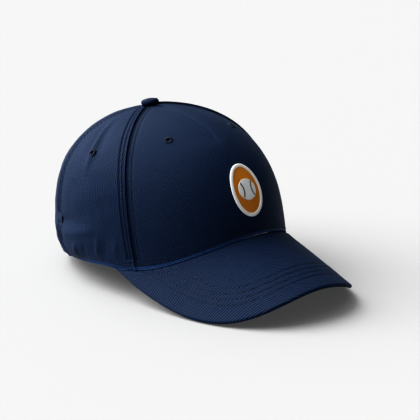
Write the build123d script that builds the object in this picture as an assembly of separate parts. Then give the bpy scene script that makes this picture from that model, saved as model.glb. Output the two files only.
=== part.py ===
from build123d import *
import os
from math import acos, asin, cos, degrees, exp, hypot, pi, radians, sin, tan

# Baseball cap, millimetres. Everything is drawn upright about the crown's own axis, then leaned
# back as it rests on a flat surface: on the two low corners of the visor and on the rear rim.
# Front is -Y, up is +Z, the wearer's right is -X. Angle 0 is the front, growing to the wearer's right.

# Crown
CROWN_HALF_WIDTH = 84.7
CROWN_FRONT_LENGTH = 106.1
CROWN_BACK_LENGTH = 101.2
CROWN_HEIGHT = 115.8
SIDE_ROUNDNESS = (1.036, 0.263, -0.014)  # exponent of the radius: mean, front to back, both ends
TOP_ROUNDNESS = (0.679, -0.118, 0.164)  # exponent of the height: mean, front to back, both ends
RIM_TUCK = (0.017, -0.013, 0.0)  # share by which the rim pulls in: mean, front to back, both ends
TUCK_HEIGHT = 0.35  # share of the height over which it does
REAR_RIM_HEIGHT = 2.7
SIDE_RIM_DIP = 0.35
SIDE_DROP = 6.4  # how much lower the rim hangs behind the visor's ends
SIDE_DROP_ANGLE = 104.0
SIDE_DROP_SPREAD = (31.0, 24.0)  # degrees towards the front and towards the back
SIDE_CURL = 4.0  # how far the rim curls in below the rounded side
SIDE_CURL_ANGLE = 112.0
SIDE_CURL_SPREAD = (20.0, 20.0)
CURL_HEIGHT = 0.11  # share of the height over which it does
TOP_HOLE_RADIUS = 4.0

# How it rests
LEAN_BACK = 12.27  # degrees
REST_HEIGHT = 18.45  # crown axis origin above the floor
CROWN_SETBACK = 34.0  # crown axis origin behind the middle of the overall length

# Visor
VISOR_START_ANGLE = 74.6
VISOR_PITCH = 31.4
VISOR_ROOT_HEIGHT = 9.6
VISOR_FRONT = -168.8
VISOR_SIDE_REACH = 45.0
VISOR_SIDE_TURN = 3.9  # degrees the side edges lean in
VISOR_FRONT_REACH = 87.0
ARCH_UNIT = 30.0
VISOR_ARCH = 7.19  # drop one unit off the centre line
VISOR_ARCH_EDGE = 0.098  # its fourth-power share
COVER_THICKNESS = 0.7
BOARD_THICKNESS = 1.8
PLY_GAP = 0.12
BOARD_INSET = 0.8
VISOR_GRID_STEP = 10.0
VISOR_GRID_COLUMNS = 19
VISOR_GRID_ROWS = 17
VISOR_GRID_MARGIN = 5.0
RIM_POINTS = 36

# Layers of the crown, depths inward from the outside
PANEL_PLY = (0.0, 0.9)
STIFFENER_PLY = (1.1, 1.8)
TAPE_PLY = (2.0, 2.7)
PADDING_PLY = (2.9, 4.4)
SWEATBAND_PLY = (4.6, 5.6)
BADGE_PLY = (-1.5, -0.15)
BINDING_PLY = (-0.5, 1.2)

# Panels
FRONT_SEAM = 58.7
REAR_SEAM = 120.0
SEAM_GAP = 0.3
DART_LOW_SHARE = 0.715  # height share where the dart runs out
TAPE_WIDTH = 12.0
TAPE_TOP_RADIUS = 14.0
STIFFENER_TOP_RADIUS = 16.0
STIFFENER_END = FRONT_SEAM - 1.0
SWEATBAND_HEIGHT = 32.0
SWEATBAND_END = 149.0
PADDING_HEIGHT = 28.0
PADDING_END = 52.0

# Eyelets: angle round the crown and its height share
EYELETS = ((30.3, 0.784), (86.2, 0.754), (150.0, 0.775))
EYELET_OUTER_RADIUS = 3.6
EYELET_INNER_RADIUS = 1.5
EYELET_HOLE_RADIUS = 3.75
EYELET_DEPTHS = (-0.5, 1.95)
EYELET_CUT_DEPTH = 12.0

# Rear opening and its closure
ARCH_RADIUS = 44.0
ARCH_CENTRE_HEIGHT = 4.0
BINDING_WIDTH = 4.0
BINDING_ENDS = (150.0, 210.0)  # the part of the crown the binding is cut from
BINDING_TOP = 60.0
BACK_TAPE_CLEARANCE = 6.0
STRAP_WIDTH = 20.0
STRAP_LOW_EDGE = 2.0
STRAP_PLY = (3.3, 4.5)
STRAP_ENDS = (138.0, 209.0)
KEEPER_PLY = (1.4, 2.6)
KEEPER_ENDS = (199.3, 222.0)

# Buckle, in its own frame: x along the strap towards the wearer's left, z out of the strap
BUCKLE_ANGLE = 191.0
BASE_LENGTH = 20.0
BASE_FACE = -5.8
PLATE_THICKNESS = 0.8
CHEEK_THICKNESS = 1.0
CHEEK_INSIDE = 21.4
CHEEK_TOP = 0.2
PIN_X = -8.0
PIN_Z = -1.6
PIN_RADIUS = 0.75
BARREL_RADIUS = 1.5
BARREL_CLEARANCE = 0.06
LEVER_LENGTH = 17.5
LEVER_THICKNESS = 0.9
LEVER_SIDE_GAP = 0.35
LIP_LENGTH = 3.0
LIP_RISE = 25.0
BAR_X = 12.5
BAR_RADIUS = 0.8
LOOP_RADIUS = 2.0
LOOP_CLEARANCE = 0.1

# Top button
BUTTON_RADIUS = 7.2
BUTTON_HEIGHT = 6.0
BUTTON_COVER = 0.8
BUTTON_LIFT = 0.15
DOME_FLAT = 0.75  # how far out the top stays flat and how high the side stays upright
DOME_FULL = 0.9
BUTTON_FIT = 0.1  # clearance between the shell and its cover, and round the shank
SHANK_RADIUS = 2.6
SHANK_TAIL = 1.0  # riveted end below the washer
WASHER_RADIUS = 8.0
WASHER_THICKNESS = 1.0
WASHER_DEPTH = 3.0

# Front badge
BADGE_WIDTH = 29.0
BADGE_HEIGHT = 43.0
BADGE_CENTRE_HEIGHT = 36.0
BADGE_SPREAD = 14.0  # degrees and height of the part of the crown the badge is cut from
BADGE_TOP = 75.0

GRID_ROWS = 15
COLUMN_ANGLE = 6.0
SURFACE_TOLERANCE = 0.01
FAR = 200.0


def shaped(coefficients, angle):
    return coefficients[0] + coefficients[1] * cos(angle) + coefficients[2] * cos(2 * angle)


def rim_radius(angle, depth=0.0):
    length = CROWN_FRONT_LENGTH if cos(angle) > 0 else CROWN_BACK_LENGTH
    across = sin(angle) / (CROWN_HALF_WIDTH - depth)
    along = cos(angle) / (length - depth)
    return 1 / hypot(across, along)


def visor_height(x, y):
    """Height of the visor's upper face over a point of the floor."""
    forward = -(y + CROWN_FRONT_LENGTH)
    wide = abs(x) / ARCH_UNIT
    arch = VISOR_ARCH * wide**2 + VISOR_ARCH_EDGE * wide**4
    return VISOR_ROOT_HEIGHT - tan(radians(VISOR_PITCH)) * forward - arch


def rim_place(angle, out=0.0):
    """Point of the floor under the crown's lower edge, or a little outside it."""
    radius = rim_radius(angle) * (1 - shaped(RIM_TUCK, angle)) + out
    return -sin(angle) * radius, -cos(angle) * radius


def rim_height_on_visor(angle):
    return visor_height(*rim_place(angle))


def away_from_front(angle):
    return abs(angle) if abs(angle) <= pi else 2 * pi - abs(angle)


def bell(angle, middle, spread):
    """1 at an angle in degrees on either side, fading away to its front and to its back."""
    away = degrees(away_from_front(angle)) - middle
    return exp(-((away / spread[away > 0]) ** 2))


def rim_height(angle):
    """Height of the crown's lower edge: on the visor in front, then easing down to the back."""
    drop = SIDE_DROP * bell(angle, SIDE_DROP_ANGLE, SIDE_DROP_SPREAD)
    angle = away_from_front(angle)
    start = radians(VISOR_START_ANGLE)
    if angle <= start:
        return rim_height_on_visor(angle) - drop
    step = radians(1)
    start_height = rim_height_on_visor(start)
    start_slope = (start_height - rim_height_on_visor(start - step)) / step * (pi - start)
    t = (angle - start) / (pi - start)
    eased = (2 * t**3 - 3 * t**2 + 1) * start_height + (t**3 - 2 * t**2 + t) * start_slope
    eased += (3 * t**2 - 2 * t**3) * REAR_RIM_HEIGHT - SIDE_RIM_DIP * 16 * (t * (1 - t)) ** 2
    return eased - drop


def crown_point(angle, rise, depth=0.0):
    """Point of the crown: angle round it, rise from 0 at the rim to pi / 2 at the top."""
    radius = rim_radius(angle, depth) * cos(rise) ** shaped(SIDE_ROUNDNESS, angle)
    share = sin(rise) ** shaped(TOP_ROUNDNESS, angle)
    low = max(0.0, 1 - share / TUCK_HEIGHT)
    radius *= 1 - shaped(RIM_TUCK, angle) * low**2
    curl = max(0.0, 1 - share / CURL_HEIGHT)
    radius -= SIDE_CURL * bell(angle, SIDE_CURL_ANGLE, SIDE_CURL_SPREAD) * curl**2
    edge = rim_height(angle)
    height = edge + (CROWN_HEIGHT - depth - edge) * share
    return Vector(-sin(angle) * radius, -cos(angle) * radius, height)


def rise_at_share(angle, share):
    return asin(share ** (1 / shaped(TOP_ROUNDNESS, angle)))


def rise_at_height(angle, height):
    return rise_at_share(angle, height / (CROWN_HEIGHT - rim_height(angle)))


def rise_at_radius(angle, radius):
    return acos((radius / rim_radius(angle)) ** (1 / shaped(SIDE_ROUNDNESS, angle)))


def rows_between(angle, low, high):
    """Rises from low to high, evenly spread along the crown."""
    roundness = shaped(TOP_ROUNDNESS, angle)
    bottom = low**roundness
    top = high**roundness
    shares = [row / (GRID_ROWS - 1) for row in range(GRID_ROWS)]
    return [(bottom + (top - bottom) * share) ** (1 / roundness) for share in shares]


def closed_skin(outer_points, inner_points):
    """A solid between two matching nets of points."""
    outer = Face.make_surface_from_array_of_points(outer_points, tol=SURFACE_TOLERANCE)
    inner = Face.make_surface_from_array_of_points(inner_points, tol=SURFACE_TOLERANCE)
    sides = []
    for edge in outer.edges():
        partner = min(inner.edges(), key=lambda other: (other.center() - edge.center()).length)
        sides.append(Face.make_surface_from_curves(edge, partner))
    return Solid(Shell([outer, inner] + sides))


def crown_skin(start, end, ply, low, high, start_gap=0.0, end_gap=0.0):
    """Part of the crown between two angles in degrees; low and high give the rises at an angle."""
    columns = max(3, round(abs(end - start) / COLUMN_ANGLE) + 1)
    nets = []
    for depth in ply:
        net = []
        for column in range(columns):
            share = column / (columns - 1)
            angle = radians(start + (end - start) * share)
            line = []
            for rise in rows_between(angle, low(angle), high(angle)):
                radius = rim_radius(angle) * cos(rise) ** shaped(SIDE_ROUNDNESS, angle)
                shift = start_gap * (1 - share) / radius - end_gap * share / radius
                line.append(crown_point(angle + shift, rise, depth))
            net.append(line)
        nets.append(net)
    return closed_skin(*nets)


def at_rim(angle):
    return 0.0


def at_top_hole(angle):
    return rise_at_radius(angle, TOP_HOLE_RADIUS)


def strip_along_seam(seam, top_radius, low=at_rim):
    """A tape of even width up a seam, inside the crown."""
    columns = 3
    nets = []
    high = rise_at_radius(radians(seam), top_radius)
    bottom = low(radians(seam))
    for depth in TAPE_PLY:
        net = []
        for column in range(columns):
            side = TAPE_WIDTH * (column / (columns - 1) - 0.5)
            line = []
            for rise in rows_between(radians(seam), bottom, high):
                centre = crown_point(radians(seam), rise, depth)
                angle = radians(seam) + side / hypot(centre.X, centre.Y)
                line.append(crown_point(angle, rise, depth))
            net.append(line)
        nets.append(net)
    return closed_skin(*nets)


def surface_plane(angle, rise):
    """Plane on the crown: x round it towards the wearer's left, y up it, z outward."""
    step = 0.01
    centre = crown_point(angle, rise)
    around = crown_point(angle - step, rise) - crown_point(angle + step, rise)
    upward = crown_point(angle, rise + step) - crown_point(angle, rise - step)
    return Plane(origin=centre, x_dir=around, z_dir=around.cross(upward))


def disc(plane, radius, low, high):
    """A cylinder on a plane between two heights above it."""
    return extrude(plane.offset(low) * Circle(radius), high - low, dir=plane.z_dir)


def eyelet_planes():
    planes = []
    for angle, share in EYELETS:
        for side in (1, -1):
            turn = radians(angle) * side
            planes.append(surface_plane(turn, rise_at_share(turn, share)))
    return planes


def with_eyelet_holes(body):
    for plane in eyelet_planes():
        body = body - disc(plane, EYELET_HOLE_RADIUS, -EYELET_CUT_DEPTH, EYELET_DEPTHS[1])
    return body


def arch_block(radius):
    """Upright arch through the back of the crown, open at the bottom."""
    plane = Plane(origin=(0, 0, ARCH_CENTRE_HEIGHT), x_dir=(1, 0, 0), z_dir=(0, 1, 0))
    arch = Circle(radius) + Pos(0, radius) * Rectangle(2 * radius, 2 * radius)
    return extrude(plane * arch, FAR)


def front_panel():
    panel = crown_skin(-FRONT_SEAM, FRONT_SEAM, PANEL_PLY, at_rim, at_top_hole, SEAM_GAP / 2, SEAM_GAP / 2)
    low = crown_point(0.0, rise_at_share(0.0, DART_LOW_SHARE))
    slit = Box(SEAM_GAP, FAR, FAR, align=(Align.CENTER, Align.MAX, Align.MIN))
    return with_eyelet_holes(panel - Pos(0, 0, low.Z) * slit)


def side_panel(side):
    ends = sorted((FRONT_SEAM * side, REAR_SEAM * side))
    panel = crown_skin(*ends, PANEL_PLY, at_rim, at_top_hole, SEAM_GAP / 2, SEAM_GAP / 2)
    return with_eyelet_holes(panel)


def back_panel(side):
    ends = sorted((REAR_SEAM * side, 180.0 * side))
    panel = crown_skin(*ends, PANEL_PLY, at_rim, at_top_hole, SEAM_GAP / 2, SEAM_GAP / 2)
    return with_eyelet_holes(panel) - arch_block(ARCH_RADIUS + SEAM_GAP)


def front_stiffener():
    body = crown_skin(-STIFFENER_END, STIFFENER_END, STIFFENER_PLY, at_rim,
                      lambda a: rise_at_radius(a, STIFFENER_TOP_RADIUS))
    return with_eyelet_holes(body)


def arch_binding():
    """Folded tape round the edge of the rear opening."""
    body = crown_skin(*BINDING_ENDS, BINDING_PLY, at_rim, lambda a: rise_at_height(a, BINDING_TOP))
    return body & (arch_block(ARCH_RADIUS) - arch_block(ARCH_RADIUS - BINDING_WIDTH))


def eyelet_rings():
    rings = []
    for plane in eyelet_planes():
        low = -EYELET_DEPTHS[1]
        high = -EYELET_DEPTHS[0]
        ring = disc(plane, EYELET_OUTER_RADIUS, low, high)
        rings.append(ring - disc(plane, EYELET_INNER_RADIUS, low - 1, high + 1))
    return Compound(rings)


def sweatband():
    return crown_skin(-SWEATBAND_END, SWEATBAND_END, SWEATBAND_PLY, at_rim,
                      lambda a: rise_at_height(a, SWEATBAND_HEIGHT))


def sweatband_padding():
    return crown_skin(-PADDING_END, PADDING_END, PADDING_PLY, at_rim,
                      lambda a: rise_at_height(a, PADDING_HEIGHT))


def front_badge():
    plane = surface_plane(0.0, rise_at_height(0.0, BADGE_CENTRE_HEIGHT))
    outline = extrude(plane * Ellipse(BADGE_WIDTH / 2, BADGE_HEIGHT / 2), FAR / 10, both=True)
    body = crown_skin(-BADGE_SPREAD, BADGE_SPREAD, BADGE_PLY, at_rim, lambda a: rise_at_height(a, BADGE_TOP))
    return body & outline


def visor_prism(inset=0.0):
    """Everything above and below the visor's outline, outside the crown."""
    x, y = rim_place(-radians(VISOR_START_ANGLE))
    x -= inset
    turn = radians(VISOR_SIDE_TURN)
    pull_x = x - VISOR_SIDE_REACH * sin(turn)
    pull_y = y - VISOR_SIDE_REACH * cos(turn)
    front = VISOR_FRONT + inset
    reach = VISOR_FRONT_REACH - inset
    right = Bezier((-x, y), (-pull_x, pull_y), (-reach, front), (0, front))
    left = Bezier((0, front), (reach, front), (pull_x, pull_y), (x, y))
    outline = Face(Wire([right, left, Line((x, y), (-x, y))]))
    rim = [rim_place(2 * pi * point / RIM_POINTS, SEAM_GAP) for point in range(RIM_POINTS)]
    crown = Face(Wire([Spline(rim, periodic=True)]))
    return extrude(outline, FAR / 2, both=True) - extrude(crown, FAR, both=True)


def visor_slab(top, bottom):
    """A curved sheet that follows the visor, between two depths below its upper face."""
    nets = []
    for depth in (top, bottom):
        drop = depth / cos(radians(VISOR_PITCH))
        net = []
        for column in range(VISOR_GRID_COLUMNS):
            x = VISOR_GRID_STEP * (column - (VISOR_GRID_COLUMNS - 1) / 2)
            front = VISOR_FRONT - VISOR_GRID_MARGIN
            ys = [front + VISOR_GRID_STEP * row for row in range(VISOR_GRID_ROWS)]
            net.append([Vector(x, y, visor_height(x, y) - drop) for y in ys])
        nets.append(net)
    return closed_skin(*nets)


def visor_plies():
    prism = visor_prism()
    top = COVER_THICKNESS
    board = top + PLY_GAP + BOARD_THICKNESS
    bottom = board + PLY_GAP + COVER_THICKNESS
    return {
        "visor_top_cover": visor_slab(0.0, top) & prism,
        "visor_board": visor_slab(top + PLY_GAP, board) & visor_prism(BOARD_INSET),
        "visor_bottom_cover": visor_slab(board + PLY_GAP, bottom) & prism,
    }


def strap(ply, ends):
    """A band across the rear opening, following the crown."""
    return crown_skin(*ends, ply, lambda a: rise_at_height(a, STRAP_LOW_EDGE),
                      lambda a: rise_at_height(a, STRAP_LOW_EDGE + STRAP_WIDTH))


def buckle_plane():
    angle = radians(BUCKLE_ANGLE)
    plane = surface_plane(angle, rise_at_height(angle, STRAP_LOW_EDGE + STRAP_WIDTH / 2))
    return Plane(origin=plane.origin, x_dir=-plane.x_dir, z_dir=plane.z_dir)


def upright_rod(plane, x, z, radius, length):
    """A round rod up the strap's width, at a place in the buckle's frame."""
    at = plane.location * Pos(x, 0, z) * Rot(90, 0, 0)
    return at * Cylinder(radius, length)


def buckle_block(plane, x_range, width, z_range, y=0.0):
    size_x = x_range[1] - x_range[0]
    size_z = z_range[1] - z_range[0]
    middle = Pos((x_range[0] + x_range[1]) / 2, y, (z_range[0] + z_range[1]) / 2)
    return plane.location * middle * Box(size_x, width, size_z)


def buckle_base():
    """Folded metal channel: base plate, two cheeks with pin holes, and the end bar."""
    plane = buckle_plane()
    half = BASE_LENGTH / 2
    full = CHEEK_INSIDE + 2 * CHEEK_THICKNESS
    body = buckle_block(plane, (-half, half), full, (BASE_FACE - PLATE_THICKNESS, BASE_FACE))
    for side in (1, -1):
        y = side * (CHEEK_INSIDE + CHEEK_THICKNESS) / 2
        cheek = (BASE_FACE - PLATE_THICKNESS, CHEEK_TOP)
        body += buckle_block(plane, (-half, half), CHEEK_THICKNESS, cheek, y)
        arm = (half - 1, BAR_X + LOOP_RADIUS)
        body += buckle_block(plane, arm, CHEEK_THICKNESS, (PIN_Z - BARREL_RADIUS, CHEEK_TOP), y)
    body += upright_rod(plane, BAR_X, PIN_Z, BAR_RADIUS, full)
    return body - upright_rod(plane, PIN_X, PIN_Z, PIN_RADIUS, 2 * full)


def buckle_pin():
    return upright_rod(buckle_plane(), PIN_X, PIN_Z, PIN_RADIUS, CHEEK_INSIDE + 2 * CHEEK_THICKNESS)


def buckle_lever():
    """Clamp lever on its pin, lying flat over the strap, with a lifted lip for the finger."""
    plane = buckle_plane()
    width = CHEEK_INSIDE - 2 * LEVER_SIDE_GAP
    low = PIN_Z - BARREL_RADIUS
    end = PIN_X + LEVER_LENGTH - LIP_LENGTH
    body = upright_rod(plane, PIN_X, PIN_Z, BARREL_RADIUS, width)
    body += buckle_block(plane, (PIN_X, end), width, (low, low + LEVER_THICKNESS))
    lip = Box(LIP_LENGTH, width, LEVER_THICKNESS, align=(Align.MIN, Align.CENTER, Align.MIN))
    body += plane.location * Pos(end, 0, low) * Rot(0, -LIP_RISE, 0) * lip
    return body - upright_rod(plane, PIN_X, PIN_Z, PIN_RADIUS + BARREL_CLEARANCE, 2 * width)


def buckle_keeper():
    """Short strap sewn inside the crown and looped round the buckle's end bar."""
    plane = buckle_plane()
    body = strap(KEEPER_PLY, KEEPER_ENDS)
    body += upright_rod(plane, BAR_X, PIN_Z, LOOP_RADIUS, STRAP_WIDTH)
    return body - upright_rod(plane, BAR_X, PIN_Z, BAR_RADIUS + LOOP_CLEARANCE, 2 * STRAP_WIDTH)


def dome(radius, height):
    """Low dome on the XY plane."""
    profile = Polyline((radius, 0), (0, 0), (0, height))
    top = Bezier((0, height), (radius * DOME_FLAT, height), (radius, height * DOME_FULL), (radius, 0))
    return revolve(Plane.XZ * Face(Wire([*profile.edges(), top])), Axis.Z)


def top_button():
    base = Pos(0, 0, CROWN_HEIGHT + BUTTON_LIFT)
    hollow = dome(BUTTON_RADIUS - BUTTON_COVER, BUTTON_HEIGHT - BUTTON_COVER)
    cover = dome(BUTTON_RADIUS, BUTTON_HEIGHT) - hollow
    core = dome(BUTTON_RADIUS - BUTTON_COVER - BUTTON_FIT, BUTTON_HEIGHT - BUTTON_COVER - BUTTON_FIT)
    shank_top = CROWN_HEIGHT + BUTTON_LIFT
    shank_low = CROWN_HEIGHT - WASHER_DEPTH - WASHER_THICKNESS - SHANK_TAIL
    shank = Pos(0, 0, (shank_top + shank_low) / 2) * Cylinder(SHANK_RADIUS, shank_top - shank_low)
    hole = Cylinder(SHANK_RADIUS + BUTTON_FIT, 2 * WASHER_THICKNESS)
    washer = Cylinder(WASHER_RADIUS, WASHER_THICKNESS) - hole
    washer_place = Pos(0, 0, CROWN_HEIGHT - WASHER_DEPTH - WASHER_THICKNESS / 2)
    return {
        "top_button_cover": base * cover,
        "top_button_shell": base * core + shank,
        "button_washer": washer_place * washer,
    }


def all_pieces():
    pieces = {
        "front_panel": front_panel(),
        "front_stiffener": front_stiffener(),
        "front_badge": front_badge(),
        "sweatband": sweatband(),
        "sweatband_padding": sweatband_padding(),
        "eyelet_rings": eyelet_rings(),
        "arch_binding": arch_binding(),
        "adjusting_strap": strap(STRAP_PLY, STRAP_ENDS),
        "buckle_keeper": buckle_keeper(),
        "buckle_base": buckle_base(),
        "buckle_pin": buckle_pin(),
        "buckle_lever": buckle_lever(),
    }
    for side, word in ((1, "right"), (-1, "left")):
        pieces["side_panel_" + word] = side_panel(side)
        pieces["back_panel_" + word] = back_panel(side)
        pieces["front_seam_tape_" + word] = strip_along_seam(FRONT_SEAM * side, TAPE_TOP_RADIUS)
        pieces["rear_seam_tape_" + word] = strip_along_seam(REAR_SEAM * side, TAPE_TOP_RADIUS)
    above_arch = ARCH_RADIUS + BACK_TAPE_CLEARANCE
    pieces["back_seam_tape"] = strip_along_seam(180.0, TAPE_TOP_RADIUS,
                                                lambda a: rise_at_height(a, above_arch))
    pieces["dart_tape"] = strip_along_seam(0.0, TAPE_TOP_RADIUS,
                                           lambda a: rise_at_share(a, DART_LOW_SHARE))
    pieces.update(visor_plies())
    pieces.update(top_button())
    return pieces


resting = Pos(0, CROWN_SETBACK, REST_HEIGHT) * Rot(-LEAN_BACK, 0, 0)
os.makedirs("parts", exist_ok=True)
for name, piece in all_pieces().items():
    export_step(resting * piece, os.path.join("parts", name + ".step"))
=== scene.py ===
import math
import bmesh
import bpy
import numpy as np
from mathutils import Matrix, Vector, noise
from mathutils.bvhtree import BVHTree


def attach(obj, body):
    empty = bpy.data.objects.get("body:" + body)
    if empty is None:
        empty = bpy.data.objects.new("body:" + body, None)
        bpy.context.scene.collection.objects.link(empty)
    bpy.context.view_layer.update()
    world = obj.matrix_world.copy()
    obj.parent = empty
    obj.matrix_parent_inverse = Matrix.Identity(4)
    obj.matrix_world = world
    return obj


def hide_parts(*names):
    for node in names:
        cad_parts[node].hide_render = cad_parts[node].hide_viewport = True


# Baseball cap. Shapes are worked out in millimetres about the crown's own axis, as in the CAD part:
# front is -Y, up is +Z, angle 0 is the front and grows to the wearer's right. to_row() then leans
# the cap back as it rests and turns millimetres into the frame's metres.

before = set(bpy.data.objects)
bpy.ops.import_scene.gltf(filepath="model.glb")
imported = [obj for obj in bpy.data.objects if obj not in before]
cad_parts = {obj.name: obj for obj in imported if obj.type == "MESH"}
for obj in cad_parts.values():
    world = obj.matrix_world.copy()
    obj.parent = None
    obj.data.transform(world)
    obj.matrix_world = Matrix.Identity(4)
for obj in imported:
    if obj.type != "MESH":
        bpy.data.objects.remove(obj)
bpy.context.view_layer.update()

# ---------------------------------------------------------------- driving dimensions, as in the CAD part
MM = 0.001
CROWN_HALF_WIDTH = 84.7
CROWN_FRONT_LENGTH = 106.1
CROWN_BACK_LENGTH = 101.2
CROWN_HEIGHT = 115.8
SIDE_ROUNDNESS = (1.036, 0.263, -0.014)
TOP_ROUNDNESS = (0.679, -0.118, 0.164)
RIM_TUCK = (0.017, -0.013, 0.0)
TUCK_HEIGHT = 0.35
REAR_RIM_HEIGHT = 2.7
SIDE_RIM_DIP = 0.35
SIDE_DROP = (6.4, 104.0, 31.0, 24.0)  # amount, angle, spread to the front and to the back
SIDE_CURL = (4.0, 112.0, 20.0, 20.0)
CURL_HEIGHT = 0.11
LEAN_BACK = math.radians(12.27)
REST_HEIGHT = 18.45
CROWN_SETBACK = 34.0
VISOR_START_ANGLE = 74.6
VISOR_PITCH = 31.4
VISOR_ROOT_HEIGHT = 9.6
VISOR_FRONT = -168.8
VISOR_SIDE_REACH = 45.0
VISOR_SIDE_TURN = 3.9
VISOR_FRONT_REACH = 87.0
VISOR_THICKNESS = 3.44
ARCH_UNIT = 30.0
VISOR_ARCH = 7.19
VISOR_ARCH_EDGE = 0.098
FRONT_SEAM = 58.7
REAR_SEAM = 120.0
ARCH_CENTRE_HEIGHT = 4.0
PANEL_ARCH_RADIUS = 42.9  # where the back panels end, inside the binding
EYELETS = ((30.3, 0.784), (86.2, 0.754), (150.0, 0.775))
TOP_HOLE_RADIUS = 4.0
PANEL_THICKNESS = 0.95
HEM_THICKNESS = 0.9  # how much the folded hem adds inside
HEM_DEPTH = 8.5


# ---------------------------------------------------------------- small tools
def turned(angle):
    """An angle in -pi .. pi."""
    return (angle + math.pi) % (2 * math.pi) - math.pi


def unit(vectors):
    return vectors / np.maximum(np.linalg.norm(vectors, axis=-1, keepdims=True), 1e-12)


def arc_lengths(line):
    return np.concatenate([[0], np.cumsum(np.linalg.norm(np.diff(line, axis=0), axis=1))])


def blend(places, arc, line):
    """Values of a line of vectors at places along its arc."""
    return np.stack([np.interp(places, arc, line[:, k]) for k in range(line.shape[1])], -1)


def circle(sides):
    turn = np.linspace(0, 2 * math.pi, sides, endpoint=False)
    return np.stack([np.cos(turn), np.sin(turn)], -1)


def bump(distance, centre, width, height=1.0):
    return height * np.exp(-(((distance - centre) / width) ** 2))


# ---------------------------------------------------------------- the cap's surfaces
def shaped(coefficients, angle):
    return coefficients[0] + coefficients[1] * np.cos(angle) + coefficients[2] * np.cos(2 * angle)


def rim_radius(angle, depth=0.0):
    length = np.where(np.cos(angle) > 0, CROWN_FRONT_LENGTH, CROWN_BACK_LENGTH)
    across = np.sin(angle) / (CROWN_HALF_WIDTH - depth)
    along = np.cos(angle) / (length - depth)
    return 1 / np.hypot(across, along)


def visor_height(x, y):
    forward = -(y + CROWN_FRONT_LENGTH)
    wide = np.abs(x) / ARCH_UNIT
    arch = VISOR_ARCH * wide**2 + VISOR_ARCH_EDGE * wide**4
    return VISOR_ROOT_HEIGHT - math.tan(math.radians(VISOR_PITCH)) * forward - arch


def rim_place(angle, out=0.0):
    radius = rim_radius(angle) * (1 - shaped(RIM_TUCK, angle)) + out
    return -np.sin(angle) * radius, -np.cos(angle) * radius


def bell(angle, amount, middle, front_spread, back_spread):
    """An amount at an angle in degrees on both sides, fading away to its front and to its back."""
    away = np.degrees(np.abs(turned(angle))) - middle
    return amount * np.exp(-((away / np.where(away > 0, back_spread, front_spread)) ** 2))


def rim_height(angle):
    drop = bell(angle, *SIDE_DROP)
    angle = np.abs(turned(angle))
    start = math.radians(VISOR_START_ANGLE)
    step = math.radians(1)
    on_visor = visor_height(*rim_place(np.minimum(angle, start)))
    start_height = visor_height(*rim_place(start))
    start_slope = (start_height - visor_height(*rim_place(start - step))) / step * (math.pi - start)
    t = np.clip((angle - start) / (math.pi - start), 0, 1)
    eased = (2 * t**3 - 3 * t**2 + 1) * start_height + (t**3 - 2 * t**2 + t) * start_slope
    eased = eased + (3 * t**2 - 2 * t**3) * REAR_RIM_HEIGHT - SIDE_RIM_DIP * 16 * (t * (1 - t)) ** 2
    return np.where(angle <= start, on_visor, eased) - drop


def crown_point(angle, rise, depth=0.0):
    """Points of the crown, rise from 0 at the rim to pi / 2 at the top."""
    rise = np.clip(rise, 1e-9, math.pi / 2 - 1e-9)
    radius = rim_radius(angle, depth) * np.cos(rise) ** shaped(SIDE_ROUNDNESS, angle)
    share = np.sin(rise) ** shaped(TOP_ROUNDNESS, angle)
    low = np.clip(1 - share / TUCK_HEIGHT, 0, 1)
    radius = radius * (1 - shaped(RIM_TUCK, angle) * low**2)
    radius = radius - bell(angle, *SIDE_CURL) * np.clip(1 - share / CURL_HEIGHT, 0, 1) ** 2
    edge = rim_height(angle)
    height = edge + (CROWN_HEIGHT - depth - edge) * share
    return np.stack([-np.sin(angle) * radius, -np.cos(angle) * radius, height], -1)


def rise_at_share(angle, share):
    return np.arcsin(np.clip(share, 0, 1) ** (1 / shaped(TOP_ROUNDNESS, angle)))


def rise_at_height(angle, height):
    return rise_at_share(angle, height / (CROWN_HEIGHT - rim_height(angle)))


def rise_at_radius(angle, radius):
    return np.arccos((radius / rim_radius(angle)) ** (1 / shaped(SIDE_ROUNDNESS, angle)))


def crown_normal(angle, rise, depth=0.0):
    step = 1e-3
    around = crown_point(angle - step, rise, depth) - crown_point(angle + step, rise, depth)
    low = np.maximum(rise - step, 1e-4)
    upward = crown_point(angle, low + 2 * step, depth) - crown_point(angle, low, depth)
    return unit(np.cross(around, upward))


def to_row(points):
    """Leans the cap back as it rests, and turns millimetres into metres."""
    points = np.asarray(points, float)
    y = points[..., 1] * math.cos(LEAN_BACK) + points[..., 2] * math.sin(LEAN_BACK) + CROWN_SETBACK
    z = -points[..., 1] * math.sin(LEAN_BACK) + points[..., 2] * math.cos(LEAN_BACK) + REST_HEIGHT
    return np.stack([points[..., 0], y, z], -1) * MM


# ---------------------------------------------------------------- mesh building
MERGE_DISTANCE = 1e-6


def make_object(name, points, faces, material, uv=None, sharp=40):
    """A mesh object from crown-frame points in millimetres, with an optional weave coordinate."""
    mesh = bpy.data.meshes.new(name)
    mesh.from_pydata(to_row(points).tolist(), [], [list(map(int, face)) for face in faces])
    mesh.update()
    if uv is not None:
        layer = mesh.uv_layers.new(name="weave")
        loops = np.zeros(len(mesh.loops), np.int32)
        mesh.loops.foreach_get("vertex_index", loops)
        layer.data.foreach_set("uv", np.asarray(uv, np.float32)[loops].ravel())
    work = bmesh.new()
    work.from_mesh(mesh)
    bmesh.ops.remove_doubles(work, verts=work.verts, dist=MERGE_DISTANCE)
    bmesh.ops.recalc_face_normals(work, faces=work.faces)
    if work.calc_volume(signed=True) < 0:
        bmesh.ops.reverse_faces(work, faces=work.faces)
    work.to_mesh(mesh)
    work.free()
    mesh.shade_smooth()
    mesh.set_sharp_from_angle(angle=math.radians(sharp))
    obj = bpy.data.objects.new(name, mesh)
    bpy.context.scene.collection.objects.link(obj)
    obj.data.materials.append(material)
    return obj


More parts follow.
